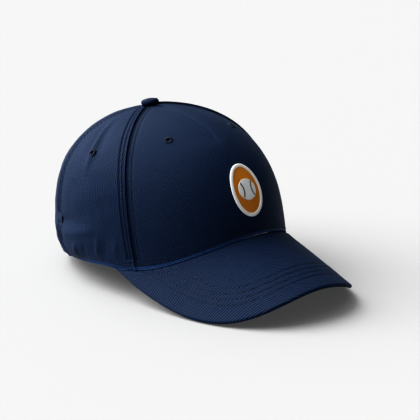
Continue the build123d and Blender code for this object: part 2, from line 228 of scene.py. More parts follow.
def grid_faces(rows, columns, start=0, flip=False, wrap=False):
    """Quads of a net of points numbered row by row."""
    r = np.arange(rows - 1)[:, None]
    c = np.arange(columns if wrap else columns - 1)[None, :]
    d = (c + 1) % columns
    quads = np.stack([r * columns + c, r * columns + d, (r + 1) * columns + d, (r + 1) * columns + c], -1)
    quads = quads.reshape(-1, 4) + start
    return quads[:, ::-1] if flip else quads


def skin(outer, inner, wrap=False):
    """Points and faces of a closed skin between two matching nets."""
    rows, columns = outer.shape[:2]
    count = rows * columns
    points = np.concatenate([outer.reshape(-1, 3), inner.reshape(-1, 3)])
    faces = [grid_faces(rows, columns, 0, False, wrap), grid_faces(rows, columns, count, True, wrap)]
    index = np.arange(count).reshape(rows, columns)
    if wrap:
        borders = [np.append(index[0], index[0, 0])[::-1], np.append(index[-1], index[-1, 0])]
    else:
        ring = np.concatenate([index[0], index[1:, -1], index[-1, -2::-1], index[-2::-1, 0]])
        borders = [ring[::-1]]
    for border in borders:
        a, b = border[:-1], border[1:]
        faces.append(np.stack([a, b, b + count, a + count], -1))
    return points, np.concatenate(faces)


# ---------------------------------------------------------------- crown panels
SEAM_EDGE = (0, 0.18, 0.36, 0.56, 0.8, 1.1, 1.6, 2.2, 2.8, 3.3, 3.65, 3.95, 4.2, 4.45, 4.75, 5.1, 5.6,
             6.0, 6.35, 6.7, 7.1, 7.7, 8.6, 9.6)  # columns of a panel's net beside a seam
SEAM_DEPTH = 1.7
REAR_SEAM_DEPTH = 0.55
SEAM_WIDTH = 0.4
ROW_OFFSET = 4.2  # stitch row beside a seam
SEAM_PUFF = (2.3, 1.2, 0.30)  # this and the next: distance from the edge, width, height
SEAM_ROW = (ROW_OFFSET, 0.42, -0.18)
SEAM_RIDGE = (5.7, 0.9, 0.3)
ALLOWANCE_EDGE = 6.6  # where the seam allowance under the fabric ends
ALLOWANCE_LIFT = 0.6
SEAM_UNDER = (0, 1.2, 0.85)  # the seam's ridge inside
NET_STEP = 1.6
PANEL_REACH = (92, 168)  # about the radius of the crown and the length of a meridian
HEM_ROW = 3.1
HEM_ROLL = (1.6, 1.1, 2.3)
HEM_DIP = (HEM_ROW, 0.5, -0.35)
HEM_TUCK = 0.6
SEAM_PUCKERS = (3.0, 2.6, 0.10)
HEM_PUCKERS = (4.0, 4.0, 0.16)
HEM_RIPPLES = 62  # per radian round the crown
DART_LAP = 1.7  # how far the dart's edges stand out, soon fading to one side, late to the other
DART_FADES = (12.0, 2.2)
DART_CREASE = (0.4, 0.4)  # depth and width
HEM_ROWS = (0, 0.35, 0.7, 1.1, 1.5, 1.9, 2.25, 2.6, 3.0, 3.6, 4.4)


def edge_columns(width, columns):
    """Distances from the left edge of a strip, dense at both edges and even between."""
    edge = np.array(SEAM_EDGE, float)
    squeeze = min(1.0, 0.42 * width / edge[-1])
    edge = edge * squeeze
    middle = np.linspace(edge[-1], width - edge[-1], columns - 2 * len(edge) + 2)[1:-1]
    return np.concatenate([edge, middle, (width - edge)[::-1]])


def panel_rows(angle, low, high, rows):
    """Rises along one meridian and their distances from the rim: close together at the hem."""
    fine = np.linspace(0, high, 900)
    arc = arc_lengths(crown_point(angle, fine))
    start = np.interp(low, fine, arc)
    hem = start + np.array(HEM_ROWS, float)
    places = np.concatenate([hem, np.linspace(hem[-1], arc[-1], rows - len(hem) + 1)[1:]])
    return np.interp(places, arc, fine), places


def opening_rise(angle):
    """Rise where the meridian at an angle leaves the rear opening, 0 where it misses it."""
    fine = np.linspace(0, 1.2, 900)
    line = crown_point(angle, fine)
    room = PANEL_ARCH_RADIUS - np.hypot(line[:, 0], np.maximum(line[:, 2] - ARCH_CENTRE_HEIGHT, 0))
    if room[0] <= 0 or line[0, 1] < 0:
        return 0.0
    last = int(np.argmax(room < 0)) - 1
    return fine[last] + (fine[1] - fine[0]) * room[last] / (room[last] - room[last + 1])


def panel_net(start, end, rows, columns):
    """Angles, rises and distances of a panel's net: from its rim and from both seams."""
    angles, rises, left, right, up = np.zeros((5, rows, columns))
    guide = np.linspace(math.radians(start), math.radians(end), 181)
    guides = np.array([panel_rows(a, opening_rise(a), rise_at_radius(a, TOP_HOLE_RADIUS), rows)
                       for a in guide])
    for row, (guide_rises, guide_up) in enumerate(guides.transpose(2, 1, 0)):
        arc = arc_lengths(crown_point(guide, guide_rises))
        left[row] = edge_columns(arc[-1], columns)
        right[row] = arc[-1] - left[row]
        angles[row] = np.interp(left[row], arc, guide)
        rises[row] = np.interp(angles[row], guide, guide_rises)
        up[row] = np.interp(angles[row], guide, guide_up)
    return angles, rises, left, right, up


def fractal(points, scale, seed, octaves=3):
    """Smooth noise in -1 .. 1 at each point, for a feature size in millimetres."""
    flat = points.reshape(-1, 3) / scale + seed * 17.3
    values = [noise.fractal(Vector(p), 1.0, 2.0, octaves) for p in flat]
    return np.array(values).reshape(points.shape[:-1])


def seam_relief(distance, soft, depth=SEAM_DEPTH):
    """Outward relief beside a seam: the deep join, the puffed allowance, and its stitch row."""
    join = -depth * np.exp(-((distance / SEAM_WIDTH) ** 1.5))
    step = ALLOWANCE_LIFT / (1 + np.exp((distance - ALLOWANCE_EDGE) / 0.28))
    return (join + bump(distance, *SEAM_PUFF) + bump(distance, *SEAM_ROW)
            + soft * bump(distance, *SEAM_RIDGE) + step * (0.4 + 0.6 * soft))


def hem_relief(up):
    """Outward relief of the folded hem at the rim: a rolled edge, then its stitch row."""
    tuck = -HEM_TUCK * np.clip(1 - up / HEM_TUCK, 0, 1) ** 2
    return bump(up, *HEM_ROLL) + tuck + bump(up, *HEM_DIP)


def crown_places(angle, up):
    """Rise at a distance up from the rim, along the meridian at an angle in radians."""
    fine = np.linspace(0, math.pi / 2, 400)
    return np.interp(up, arc_lengths(crown_point(angle, fine)), fine)


def crown_line(corners, pieces=14):
    """A line over the crown through (angle in degrees, distance up from the rim) corners."""
    last = len(corners) - 1
    angles, ups = blend(np.linspace(0, last, pieces * last + 1), np.arange(last + 1), np.array(corners)).T
    angles = np.radians(angles)
    return crown_point(angles, np.array([crown_places(a, u) for a, u in zip(angles, ups)]))


def nearest(points, line):
    """Distance from each point to a line, and how far along the line it is, 0 to 1."""
    flat = points.reshape(-1, 3)
    gaps = np.stack([np.linalg.norm(flat - place, axis=1) for place in line])
    share = gaps.argmin(0) / (len(line) - 1)
    return gaps.min(0).reshape(points.shape[:-1]), share.reshape(points.shape[:-1])


def fold(points, corners, height, width, sharp=0.6):
    """A soft fold, height above 0 or crease below 0, tapering to both ends."""
    distance, share = nearest(points, crown_line(corners))
    taper = np.sin(np.pi * np.clip(share, 0.02, 0.98)) ** sharp
    return height * taper * np.exp(-((distance / width) ** 2))


# Folds of the unlined cloth, (angle, distance up) corners, height and width, for the wearer's right.
SIDE_FOLDS = (
    (((87.5, 74), (86.4, 88), (88.7, 106), (93.5, 126)), -2.0, 3.0),
    (((91.5, 84), (92.5, 104), (97.5, 124)), 1.1, 4.5),
    (((82.0, 88), (84.0, 106), (88.0, 124)), 0.7, 4.5),
    (((134, 35), (119, 32.5), (107, 34), (96, 35)), 1.5, 4.5),
    (((135, 24), (118, 22.5), (102, 23), (80, 27)), -2.0, 4.5),
    (((134, 8), (121, 8.5), (108, 10)), 0.8, 4.0),
    (((138, 13), (118, 12), (100, 13), (82, 16)), -2.3, 7.5),
    (((104.5, 2), (99.0, 17)), -1.1, 2.4),
    (((94.0, 3), (91.0, 17)), 0.6, 2.4),
    (((83.0, 5), (80.0, 23)), -1.0, 2.6),
    (((77.0, 6), (74.5, 24)), 0.6, 2.8),
    (((70.0, 8), (68.0, 26)), -0.8, 2.6),
    (((146, 60), (140, 74), (137, 92)), -0.5, 5.0),
    (((158, 58), (163, 76), (166, 96)), -0.45, 5.0),
)
MIRROR_SHIFT = (2.0, -3.0)  # the left side's folds lie a little otherwise
DART_LOW_UP = 79.0
TOP_CALM = 9.0  # no noise this near to the crown's axis, and full noise TOP_FADE further out
TOP_FADE = 14.0
SOFT_FADE = 12.0
CLOTH_NOISE = ((0.12, 45.0, 7), (0.55, 38.0, 2), (0.12, 11.0, 5))  # height, size and seed


def cloth_folds(points, side):
    total = np.zeros(points.shape[:-1])
    for corners, height, width in SIDE_FOLDS:
        if side < 0:
            corners = [(-a + MIRROR_SHIFT[0], max(2.0, u + MIRROR_SHIFT[1])) for a, u in corners]
        total += fold(points, corners, height, width)
    return total


def shared_relief(points, angles, side):
    """Outward shift that every layer of the crown follows: noise and the folds of its soft parts."""
    crown_fade = np.clip((np.hypot(points[..., 0], points[..., 1]) - TOP_CALM) / TOP_FADE, 0, 1)
    past_front = (np.degrees(np.abs(turned(angles))) - FRONT_SEAM) * 1.5
    soft = np.clip(past_front / SOFT_FADE, 0, 1) ** 1.5
    broad, waved, fine = [height * fractal(points, size, seed) for height, size, seed in CLOTH_NOISE]
    relief = broad * crown_fade + soft * crown_fade * (waved + fine)
    for which in (1, -1):
        if soft.max() > 0 and np.any(side == which):
            relief += np.where(side == which, soft * cloth_folds(points, which), 0)
    return relief


def panel_relief(points, angles, left, right, up, soft, side, depths):
    """Outward relief of a panel: what both faces share, and what only the outer face has."""
    broad = shared_relief(points, angles, np.full(angles.shape, side))
    puckers = fractal(points, 3.2, 9) * bump(np.minimum(left, right), *SEAM_PUCKERS)
    ripple = np.sin(turned(angles) * HEM_RIPPLES + 1.5 * fractal(points, 20.0, 12))
    edge_puckers = ripple * bump(up, *HEM_PUCKERS)
    seams = seam_relief(left, soft, depths[0]) + seam_relief(right, soft, depths[1])
    return broad, seams + hem_relief(up) + puckers + edge_puckers * soft


def crown_panel(part, start, end, side, soft, material):
    """One crown panel as a closed cloth skin with its seams, rows, hem and folds."""
    columns = int(math.radians(abs(end - start)) * PANEL_REACH[0] / NET_STEP) + 2 * len(SEAM_EDGE)
    rows = int(PANEL_REACH[1] / NET_STEP) + len(HEM_ROWS)
    angles, rises, left, right, up = panel_net(start, end, rows, columns)
    base = crown_point(angles, rises)
    normal = unit(np.cross(np.gradient(base, axis=1), np.gradient(base, axis=0)))
    depths = [SEAM_DEPTH if abs(seam) == FRONT_SEAM else REAR_SEAM_DEPTH for seam in (start, end)]
    broad, fine = panel_relief(base, angles, left, right, up, soft, side, depths)
    if not soft:
        dart, share = nearest(base, crown_line(((0, DART_LOW_UP), (0, 150)), 60))
        opening = np.clip(share / 0.2, 0, 1)
        lap = np.exp(-dart / np.where(base[..., 0] < 0, *DART_FADES))
        crease = DART_CREASE[0] * np.exp(-((dart / DART_CREASE[1]) ** 1.6))
        fine += opening * (DART_LAP * lap - crease)
    seam_ridge = bump(left, *SEAM_UNDER) + bump(right, *SEAM_UNDER)
    hem = HEM_THICKNESS * np.clip(HEM_DEPTH - up, 0, 1)
    outer = base + normal * (broad + fine)[..., None]
    inner = crown_point(angles, rises, PANEL_THICKNESS) - normal * (seam_ridge + hem - broad)[..., None]
    across = (angles - math.radians(start + end) / 2) * np.hypot(base[..., 0], base[..., 1])
    uv = np.stack([across, up], -1)
    return sheet("crown_" + part, outer[:, ::-1], inner[:, ::-1], uv[:, ::-1], material, "navy_twill", part)


# ---------------------------------------------------------------- materials
NAVY = (0.0032, 0.0088, 0.026)
NAVY_LIGHT = (0.0215, 0.0500, 0.116)
PAINTED_HEM_HIGHLIGHT = (0.0019, 0.0026)  # metres above the rim where the painted highlight on the rolled edge fades out


def new_material(name, color, roughness, **values):
    """A material with its node tree and its shader, whose other inputs are given by name."""
    material = bpy.data.materials.new(name)
    material.use_nodes = True
    shader = material.node_tree.nodes["Principled BSDF"]
    values |= {"Base_Color": (*color, 1), "Roughness": roughness}
    for key, value in values.items():
        shader.inputs[key.replace("_", " ")].default_value = value
    return material, material.node_tree, shader


def add(tree, kind, *links, **values):
    """A node with its inputs linked in order and its properties and named inputs set."""
    node = tree.nodes.new(kind)
    for index, output in enumerate(links):
        if output is not None:
            tree.links.new(output, node.inputs[index])
    for key, value in values.items():
        if key in node.inputs:
            node.inputs[key].default_value = value
        else:
            setattr(node, key, value)
    return node


def waves(tree, place, spacing_mm, way="X", **values):
    """Soft lines across one way of a place, for threads of a given spacing."""
    lines = add(tree, "ShaderNodeTexWave", place, Scale=math.pi / 10 / (spacing_mm * MM), **values)
    lines.bands_direction = way
    return lines.outputs["Fac"]


def scaled_sum(tree, value, factor, plus):
    node = add(tree, "ShaderNodeMath", value, None, plus, operation="MULTIPLY_ADD")
    node.inputs[1].default_value = factor
    return node.outputs[0]


def mapped(tree, value, *span):
    """A value taken from one range to another, given as from low and high, to low and high."""
    node = add(tree, "ShaderNodeMapRange", value)
    for key, number in zip(("From Min", "From Max", "To Min", "To Max"), span):
        node.inputs[key].default_value = number
    return node.outputs["Result"]


def mixed(tree, factor, dark, light):
    node = add(tree, "ShaderNodeMix", factor, data_type="RGBA")
    node.inputs[6].default_value = (*dark, 1)
    node.inputs[7].default_value = (*light, 1)
    return node.outputs[2]


def raise_surface(tree, shader, height, strength, distance):
    relief = add(tree, "ShaderNodeBump", Strength=strength, Distance=distance)
    tree.links.new(height, relief.inputs["Height"])
    tree.links.new(relief.outputs["Normal"], shader.inputs["Normal"])


def twill(name, slant, spacing_mm, dark=NAVY, light=NAVY_LIGHT, hem=0.0):
    """Twill cloth: raised diagonal lines on a fine weave, with slight colour variation, and a painted
    highlight of strength hem along the rolled edge at the rim.
    """
    material, tree, shader = new_material(name, dark, 0.58, Sheen_Weight=0.04, Sheen_Roughness=0.4,
                                          Sheen_Tint=(0.6, 0.76, 1.0, 1), Specular_IOR_Level=0.2)
    place = add(tree, "ShaderNodeUVMap", uv_map="weave").outputs["UV"]
    turn = add(tree, "ShaderNodeVectorRotate", place, rotation_type="Z_AXIS", Angle=math.radians(slant))
    turned_place = turn.outputs["Vector"]
    lines = waves(tree, turned_place, spacing_mm, Distortion=0.6, Detail=2.0, **{"Detail Scale": 3.0})
    yarn = waves(tree, turned_place, spacing_mm / 1.7, "Y", Distortion=1.2)
    cloud = add(tree, "ShaderNodeTexNoise", Scale=60.0, Detail=4.0).outputs["Fac"]
    mottle = add(tree, "ShaderNodeTexNoise", Scale=1400.0, Detail=2.0).outputs["Fac"]
    shade = scaled_sum(tree, mottle, 0.45, scaled_sum(tree, yarn, 0.35, lines))
    tone = scaled_sum(tree, cloud, 0.5, shade)
    color = mixed(tree, mapped(tree, tone, 0.3, 1.9, 0.0, 1.0), dark, light)
    # Painted highlight: the colour is made 1 + hem times brighter on the rolled hem next to the rim, fading
    # out higher up.
    up = add(tree, "ShaderNodeSeparateXYZ", place).outputs["Y"]
    bright = add(tree, "ShaderNodeVectorMath", color, operation="SCALE")
    tree.links.new(mapped(tree, up, *PAINTED_HEM_HIGHLIGHT, 1 + hem, 1.0), bright.inputs["Scale"])
    tree.links.new(bright.outputs["Vector"], shader.inputs["Base Color"])
    raise_surface(tree, shader, shade, 0.6, 0.0004)
    return material


def thread(name, color):
    """Smooth thread with a soft shine."""
    material, tree, shader = new_material(name, color, 0.55, Sheen_Weight=0.1)
    fine = add(tree, "ShaderNodeTexNoise", Scale=2500.0, Detail=2.0)
    raise_surface(tree, shader, fine.outputs["Fac"], 0.3, 0.0002)
    return material


def satin(name, color, spacing_mm=0.45):
    """Embroidery in satin stitch: fine parallel threads with a soft shine."""
    material, tree, shader = new_material(name, color, 0.5)
    place = add(tree, "ShaderNodeUVMap", uv_map="weave").outputs["UV"]
    raise_surface(tree, shader, waves(tree, place, spacing_mm, "Y", Distortion=0.5), 0.5, 0.0003)
    return material


def mesh_cloth(name, color, spacing_mm=1.1):
    """Open plain weave of stiff threads."""
    material, tree, shader = new_material(name, color, 0.7)
    place = add(tree, "ShaderNodeUVMap", uv_map="weave").outputs["UV"]
    both = [waves(tree, place, spacing_mm, way, Distortion=0.3) for way in "XY"]
    height = add(tree, "ShaderNodeMath", *both, operation="MAXIMUM").outputs[0]
    raise_surface(tree, shader, height, 0.7, 0.0003)
    tree.links.new(mixed(tree, height, [0.55 * c for c in color], color), shader.inputs["Base Color"])
    return material


def noisy(name, color, roughness, scale, distance, metallic=0.0):
    """A plain material with fine surface noise."""
    material, tree, shader = new_material(name, color, roughness, Metallic=metallic)
    grain = add(tree, "ShaderNodeTexNoise", Scale=scale, Detail=3.0)
    raise_surface(tree, shader, grain.outputs["Fac"], 0.4, distance)
    return material


# hem sets the strength of the painted highlight along the rolled edge at the rim
crown_twill = twill("crown_twill", 45, 1.5, hem=1.7)
side_twill = twill("side_twill", 3, 1.75, hem=0.7)
visor_twill = twill("visor_twill", -58, 1.65)
button_twill = twill("button_twill", 90, 1.1)
tape_twill = twill("tape_twill", 30, 0.8)
strap_twill = twill("strap_twill", 2, 1.1)
band_cloth = twill("band_cloth", 90, 0.7, (0.012, 0.021, 0.055), (0.024, 0.040, 0.098))
thread_navy = thread("thread_navy", (0.010, 0.021, 0.050))
badge_navy = thread("badge_navy", (0.012, 0.020, 0.050))
badge_white = satin("badge_white", (0.80, 0.80, 0.78))
badge_gold = satin("badge_gold", (0.62, 0.25, 0.018))
buckram_mesh = mesh_cloth("buckram_mesh", (0.72, 0.72, 0.69))
foam = noisy("foam", (0.75, 0.75, 0.72), 0.9, 1500.0, 0.0004)
metal = noisy("metal", (0.42, 0.42, 0.43), 0.34, 900.0, 0.00005, 1.0)
board_plastic, _, _ = new_material("board_plastic", (0.75, 0.76, 0.76), 0.5)



# ---------------------------------------------------------------- finished pieces
def join(name, parts, material):
    """One object from several (points, faces) parts."""
    faces, start = [], 0
    for part_points, part_faces in parts:
        faces += [[i + start for i in face] for face in part_faces]
        start += len(part_points)
    return make_object(name, np.concatenate([points for points, _ in parts]), faces, material)


def settle(obj, slot, *nodes):
    """Says what a finished piece rides on and which CAD nodes it stands for; slot is not used."""
    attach(obj, "cap")
    if nodes:
        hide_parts(*nodes)
    return obj


def sheet(name, outer, inner, uv, material, slot, *nodes, wrap=False):
    """A finished closed cloth between two nets; uv is a net of weave places in millimetres."""
    points, faces = skin(outer, inner, wrap)
    uv = np.tile(uv.reshape(-1, 2) * MM, (2, 1))
    return settle(make_object(name, points, faces, material, uv), slot, *nodes)


def sewn(name, rows):
    """A finished piece of navy thread from rows of stitches."""
    return settle(join(name, rows, thread_navy), "navy_thread")


def volume(mesh):
    work = bmesh.new()
    work.from_mesh(mesh)
    size = work.calc_volume(signed=True)
    work.free()
    return size


def cut(obj, points, faces):
    """Takes a closed solid, given in crown-frame millimetres, out of an object."""
    cutter = make_object("cutter", points, faces, obj.data.materials[0])
    before = volume(obj.data)
    for solver in ("EXACT", "FAST"):
        modifier = obj.modifiers.new("cut", "BOOLEAN")
        modifier.operation = "DIFFERENCE"
        modifier.solver = solver
        modifier.object = cutter
        graph = bpy.context.evaluated_depsgraph_get()
        mesh = bpy.data.meshes.new_from_object(obj.evaluated_get(graph), preserve_all_data_layers=True,
                                               depsgraph=graph)
        obj.modifiers.clear()
        if 0.5 * before < volume(mesh) < before:  # otherwise the exact solver lost the inside
            break
    obj.data = mesh
    bpy.data.objects.remove(cutter)


def surface_frame(angle, rise):
    """Centre and axes on the crown: x to the wearer's left, y up it, z outward."""
    centre = crown_point(angle, rise)
    z = crown_normal(angle, rise)
    step = 0.01
    y = unit(crown_point(angle, rise + step) - crown_point(angle, rise - step))
    x = unit(np.cross(y, z))
    return centre, x, np.cross(z, x), z


def tube(path, section_x, section_y, outline, closed=False):
    """A solid swept along a path: each outline point is placed along the two section axes."""
    if outline.ndim == 2:
        outline = np.broadcast_to(outline, (len(path), *outline.shape))
    rings = path[:, None] + outline[..., :1] * section_x[:, None] + outline[..., 1:] * section_y[:, None]
    count, sides = rings.shape[:2]
    points = rings.reshape(-1, 3)
    faces = []
    for i in range(count if closed else count - 1):
        a, b = i * sides, ((i + 1) % count) * sides
        faces += [[a + k, a + (k + 1) % sides, b + (k + 1) % sides, b + k] for k in range(sides)]
    if not closed:
        faces += [list(range(sides))[::-1], list(range((count - 1) * sides, count * sides))]
    return points, faces


def oval(width, height, sides=12, square=1.0):
    """A rounded outline; square below 1 makes it boxier."""
    ring = circle(sides)
    return np.array([width, height]) / 2 * np.sign(ring) * np.abs(ring) ** square


def eyelet_cutter(centre, x, y, z):
    """A rod through the crown's layers, for tube() to build."""
    ends = centre + np.array([[-EYELET_CUT], [EYELET_CUT]]) * z
    return tube(ends, np.array([x, x]), np.array([y, y]), EYELET_HOLE * circle(40))


# ---------------------------------------------------------------- stitches
STITCH_LENGTH = 2.6
STITCH_GAP = 0.75
THREAD_RADIUS = 0.26
STITCH_SIDES = 7
STITCH_RINGS = 7
PROBE = 4.0  # how far above a surface a stitch looks for it


def surface_finder(*objects):
    """Finds the outside of some objects from points and directions in crown-frame millimetres."""
    trees = [BVHTree.FromPolygons([v.co.copy() for v in obj.data.vertices],
                                  [tuple(p.vertices) for p in obj.data.polygons]) for obj in objects]

    def find(points, directions):
        starts = to_row(points + directions * PROBE)
        ways = unit(to_row(-directions) - to_row(np.zeros(3)))
        heights = np.zeros(len(points))
        for i, (start, way) in enumerate(zip(starts, ways)):
            hits = [tree.ray_cast(Vector(start), Vector(way), 2 * PROBE * MM)[3] for tree in trees]
            hits = [hit for hit in hits if hit is not None]
            heights[i] = PROBE - min(hits) / MM if hits else 0.0
        return points + directions * heights[:, None]

    return find


def stitch_row(line, normals, find=None):
    """Threads lying in a row along a line: each dips into the cloth at both ends."""
    arc = arc_lengths(line)
    count = max(1, int(arc[-1] / (STITCH_LENGTH + STITCH_GAP)))
    pitch = arc[-1] / count
    along = np.linspace(-1, 1, STITCH_RINGS)
    places = ((np.arange(count)[:, None] + 0.5) * pitch + along * (pitch - STITCH_GAP) / 2).ravel()
    up = unit(blend(places, arc, normals))
    centres = blend(places, arc, line)
    centres = find(centres, up) if find else centres
    centres, up = centres.reshape(count, STITCH_RINGS, 3), up.reshape(count, STITCH_RINGS, 3)
    side = unit(np.cross(unit(np.gradient(centres, axis=1)), up))
    centres = centres + up * (THREAD_RADIUS * (0.55 - 1.5 * along**4))[:, None]
    thick = THREAD_RADIUS * np.clip(1 - along**6, 0.08, 1) ** 0.5
    section = thick[:, None, None] * circle(STITCH_SIDES)
    return [tube(*stitch, section) for stitch in zip(centres, side, up)]


def seam_row(angle, offset, low_up, top_radius, depth=0.0):
    """A line beside a seam, from a distance up from the rim to a radius near the top."""
    angle = math.radians(angle)
    rises = np.linspace(crown_places(angle, low_up), rise_at_radius(angle, top_radius), 160)
    middle = crown_point(angle, rises, depth)
    angles = angle + offset / np.hypot(middle[:, 0], middle[:, 1])
    return crown_point(angles, rises, depth), crown_normal(angles, rises, depth)


def rim_row(start, end, up, depth=0.0):
    """A line round the crown at a distance up from the rim."""
    angles = np.radians(np.linspace(start, end, int(abs(end - start))))
    rises = np.array([crown_places(a, up) for a in angles])
    return crown_point(angles, rises, depth), crown_normal(angles, rises, depth)


# ---------------------------------------------------------------- the crown
EYELET_HOLE = 2.0
EYELET_CUT = 6.0  # how far the holes are cut to each side of the crown's surface
STITCH_TOP_RADIUS = 8.5
STITCH_LOW = 3.6
BACK_STITCH_LOW = 50.5
HEM_ROW_END = 152
RING_THREADS = 30
RING_MIDDLE = 2.35
RING_PROBE = 2.6
SIDES = (("right", 1), ("left", -1))

panels = {"front_panel": crown_panel("front_panel", -FRONT_SEAM, FRONT_SEAM, 1, 0, crown_twill)}
for word, side in SIDES:
    for part, ends in (("side_panel_", (FRONT_SEAM, REAR_SEAM)), ("back_panel_", (REAR_SEAM, 180.0))):
        ends = sorted(side * end for end in ends)
        panels[part + word] = crown_panel(part + word, *ends, side, 1, side_twill)
crown_outside = surface_finder(*panels.values())

rows = []
for seam in (FRONT_SEAM, -FRONT_SEAM, REAR_SEAM, -REAR_SEAM, 180.0):
    low = BACK_STITCH_LOW if seam == 180.0 else STITCH_LOW
    for offset in (-ROW_OFFSET, ROW_OFFSET):
        rows += stitch_row(*seam_row(seam, offset, low, STITCH_TOP_RADIUS), crown_outside)
sewn("seam_stitches", rows)
sewn("hem_stitches", stitch_row(*rim_row(-HEM_ROW_END, HEM_ROW_END, HEM_ROW), crown_outside))

eyelets = []
for (angle, share), part in zip(EYELETS, ("front_panel", "side_panel_", "back_panel_")):
    for word, side in SIDES:
        turn = math.radians(angle) * side
        eyelets.append((part if part in panels else part + word,
                        surface_frame(turn, rise_at_share(turn, share))))
for part, axes in eyelets:
    cut(panels[part], *eyelet_cutter(*axes))

rings = []
for _, (centre, x, y, z) in eyelets:
    probes = centre + RING_PROBE * np.stack([x, -x, y, -y, x + y])
    lift = np.median((crown_outside(probes, np.broadcast_to(z, probes.shape)) - probes) @ z)
    turn = np.linspace(0, 2 * math.pi, RING_THREADS * 6, endpoint=False)
    outward = circle(RING_THREADS * 6) @ np.stack([x, y])
    ridge = 1 + 0.12 * np.abs(np.sin(turn * RING_THREADS / 2)) + 0.03 * np.sin(turn * 5)
    section = oval(2.3, 3.6, 14, 0.75) * ridge[:, None, None] + np.array([0, -1.05])
    rings.append(tube(centre + z * lift + outward * RING_MIDDLE, outward, np.broadcast_to(z, outward.shape),
                      section, closed=True))
settle(join("eyelet_embroidery", rings, thread_navy), "navy_thread", "eyelet_rings")

# ---------------------------------------------------------------- the visor
COVER_PLY = 0.75
BOARD_INSET = 0.6
BOARD_DEPTHS = (0.9, 2.54)
BOARD_SETBACK = 3.5  # from the crown joint to the board
BOARD_SHORTEST = 9.0  # there is no board where the visor is narrower than this
VISOR_COLUMNS = 261
VISOR_FLAT_ROWS = 112
CURL_ROWS = 7
VISOR_ROW_DISTANCES = (14.0, 19.1, 24.2, 29.3)
QUILT_MIDDLE = 21.6  # distance from the edge of the puckers between the rows
QUILT_REACH = 12.0
ROW_GROOVE = (0.5, -0.30)  # width and height of a row's groove, and of the swell beside it
ROW_SWELL = (1.5, 0.12)
CROWN_GROOVE = (0, 1.7, 0.7)
CROWN_SWELL = (3.6, 1.4, 0.16)
VISOR_EDGE_REACH = 1.3  # the upper face reaches this far past the CAD outline, which is cut upright
VISOR_FACES = (("top", 1), ("bottom", 0))
UNROLL = 1 / math.cos(math.radians(VISOR_PITCH))  # stretches front to back into length on the visor


def visor_outline(count, out=VISOR_EDGE_REACH):
    """Plan points of the visor's edge, from the wearer's right to the left, evenly spaced."""
    x, y = rim_place(math.radians(VISOR_START_ANGLE))
    turn = math.radians(VISOR_SIDE_TURN)
    bend = (x + VISOR_SIDE_REACH * math.sin(turn), y - VISOR_SIDE_REACH * math.cos(turn))
    corners = np.array([(x, y), bend, (-VISOR_FRONT_REACH, VISOR_FRONT), (0, VISOR_FRONT)])
    t = np.linspace(0, 1, 400)[:, None]
    half = np.hstack([(1 - t) ** 3, 3 * t * (1 - t) ** 2, 3 * t**2 * (1 - t), t**3]) @ corners
    way = unit(np.gradient(half, axis=0))
    half = half + way[:, ::-1] * (1, -1) * out * np.clip(t * 6, 0, 1)
    line = np.concatenate([half, half[-2::-1] * (-1, 1)])
    arc = arc_lengths(line)
    return blend(np.linspace(0, arc[-1], count), arc, line)


def visor_spokes(out=VISOR_EDGE_REACH):
    """Plan points of the visor's edge and of the crown joint, one spoke apart, and the spokes' lengths."""
    edge = visor_outline(VISOR_COLUMNS, out)
    spread = np.linspace(1, -1, VISOR_COLUMNS)
    root = np.stack(rim_place(np.radians(VISOR_START_ANGLE) * spread, -0.5), -1)
    return edge, root, spread, np.linalg.norm(edge - root, axis=1)


def visor_surface(plan, depth):
    """Points of the visor at a depth below its upper face, and the upward normals."""
    x, y = plan[..., 0], plan[..., 1]
    step = 0.01
    slope_x = (visor_height(x + step, y) - visor_height(x - step, y)) / (2 * step)
    slope_y = (visor_height(x, y + step) - visor_height(x, y - step)) / (2 * step)
    normal = unit(np.stack([-slope_x, -slope_y, np.ones_like(x)], -1))
    point = np.stack([x, y, visor_height(x, y)], -1)
    return point - normal * np.asarray(depth)[..., None], normal


def on_visor(plan):
    return np.concatenate([plan, visor_height(plan[..., :1], plan[..., 1:])], -1)


def edge_distance(plan):
    """Straight distance from points of the visor's upper face to its edge."""
    return nearest(on_visor(plan), on_visor(visor_outline(500)))[0]


def root_sag(spread, share):
    """How far the visor hangs below its plain shape near the ends of the crown joint."""
    return bell(np.radians(VISOR_START_ANGLE) * spread, *SIDE_DROP) * (1 - share) ** 2


def visor_relief(plan, root, upper, points, along, distance):
    """Outward relief of a visor cover: puckers between its rows, the rows, and the groove at the crown."""
    ripple = fractal(np.stack([along * np.ones_like(distance) / 5.5, distance / 13.0,
                               np.zeros_like(distance)], -1), 1.0, 21 + upper, 2)
    near_corner = np.clip((np.abs(plan[..., 0]) - 25) / 30, 0, 1)
    quilt = np.exp(-((distance - QUILT_MIDDLE) / QUILT_REACH) ** 4)
    relief = (0.06 + 0.12 * near_corner) * ripple * quilt + 0.10 * fractal(points, 30.0, 31 + upper, 2)
    tug = 1 + 0.35 * np.sin(along * 2 * math.pi / (STITCH_LENGTH + STITCH_GAP))
    for row in VISOR_ROW_DISTANCES:
        relief += tug * bump(distance, row, *ROW_GROOVE) + bump(distance, row + 2.5, *ROW_SWELL)
    root_distance = np.linalg.norm(plan - root, axis=-1)
    return relief - bump(root_distance, *CROWN_GROOVE) + bump(root_distance, *CROWN_SWELL)


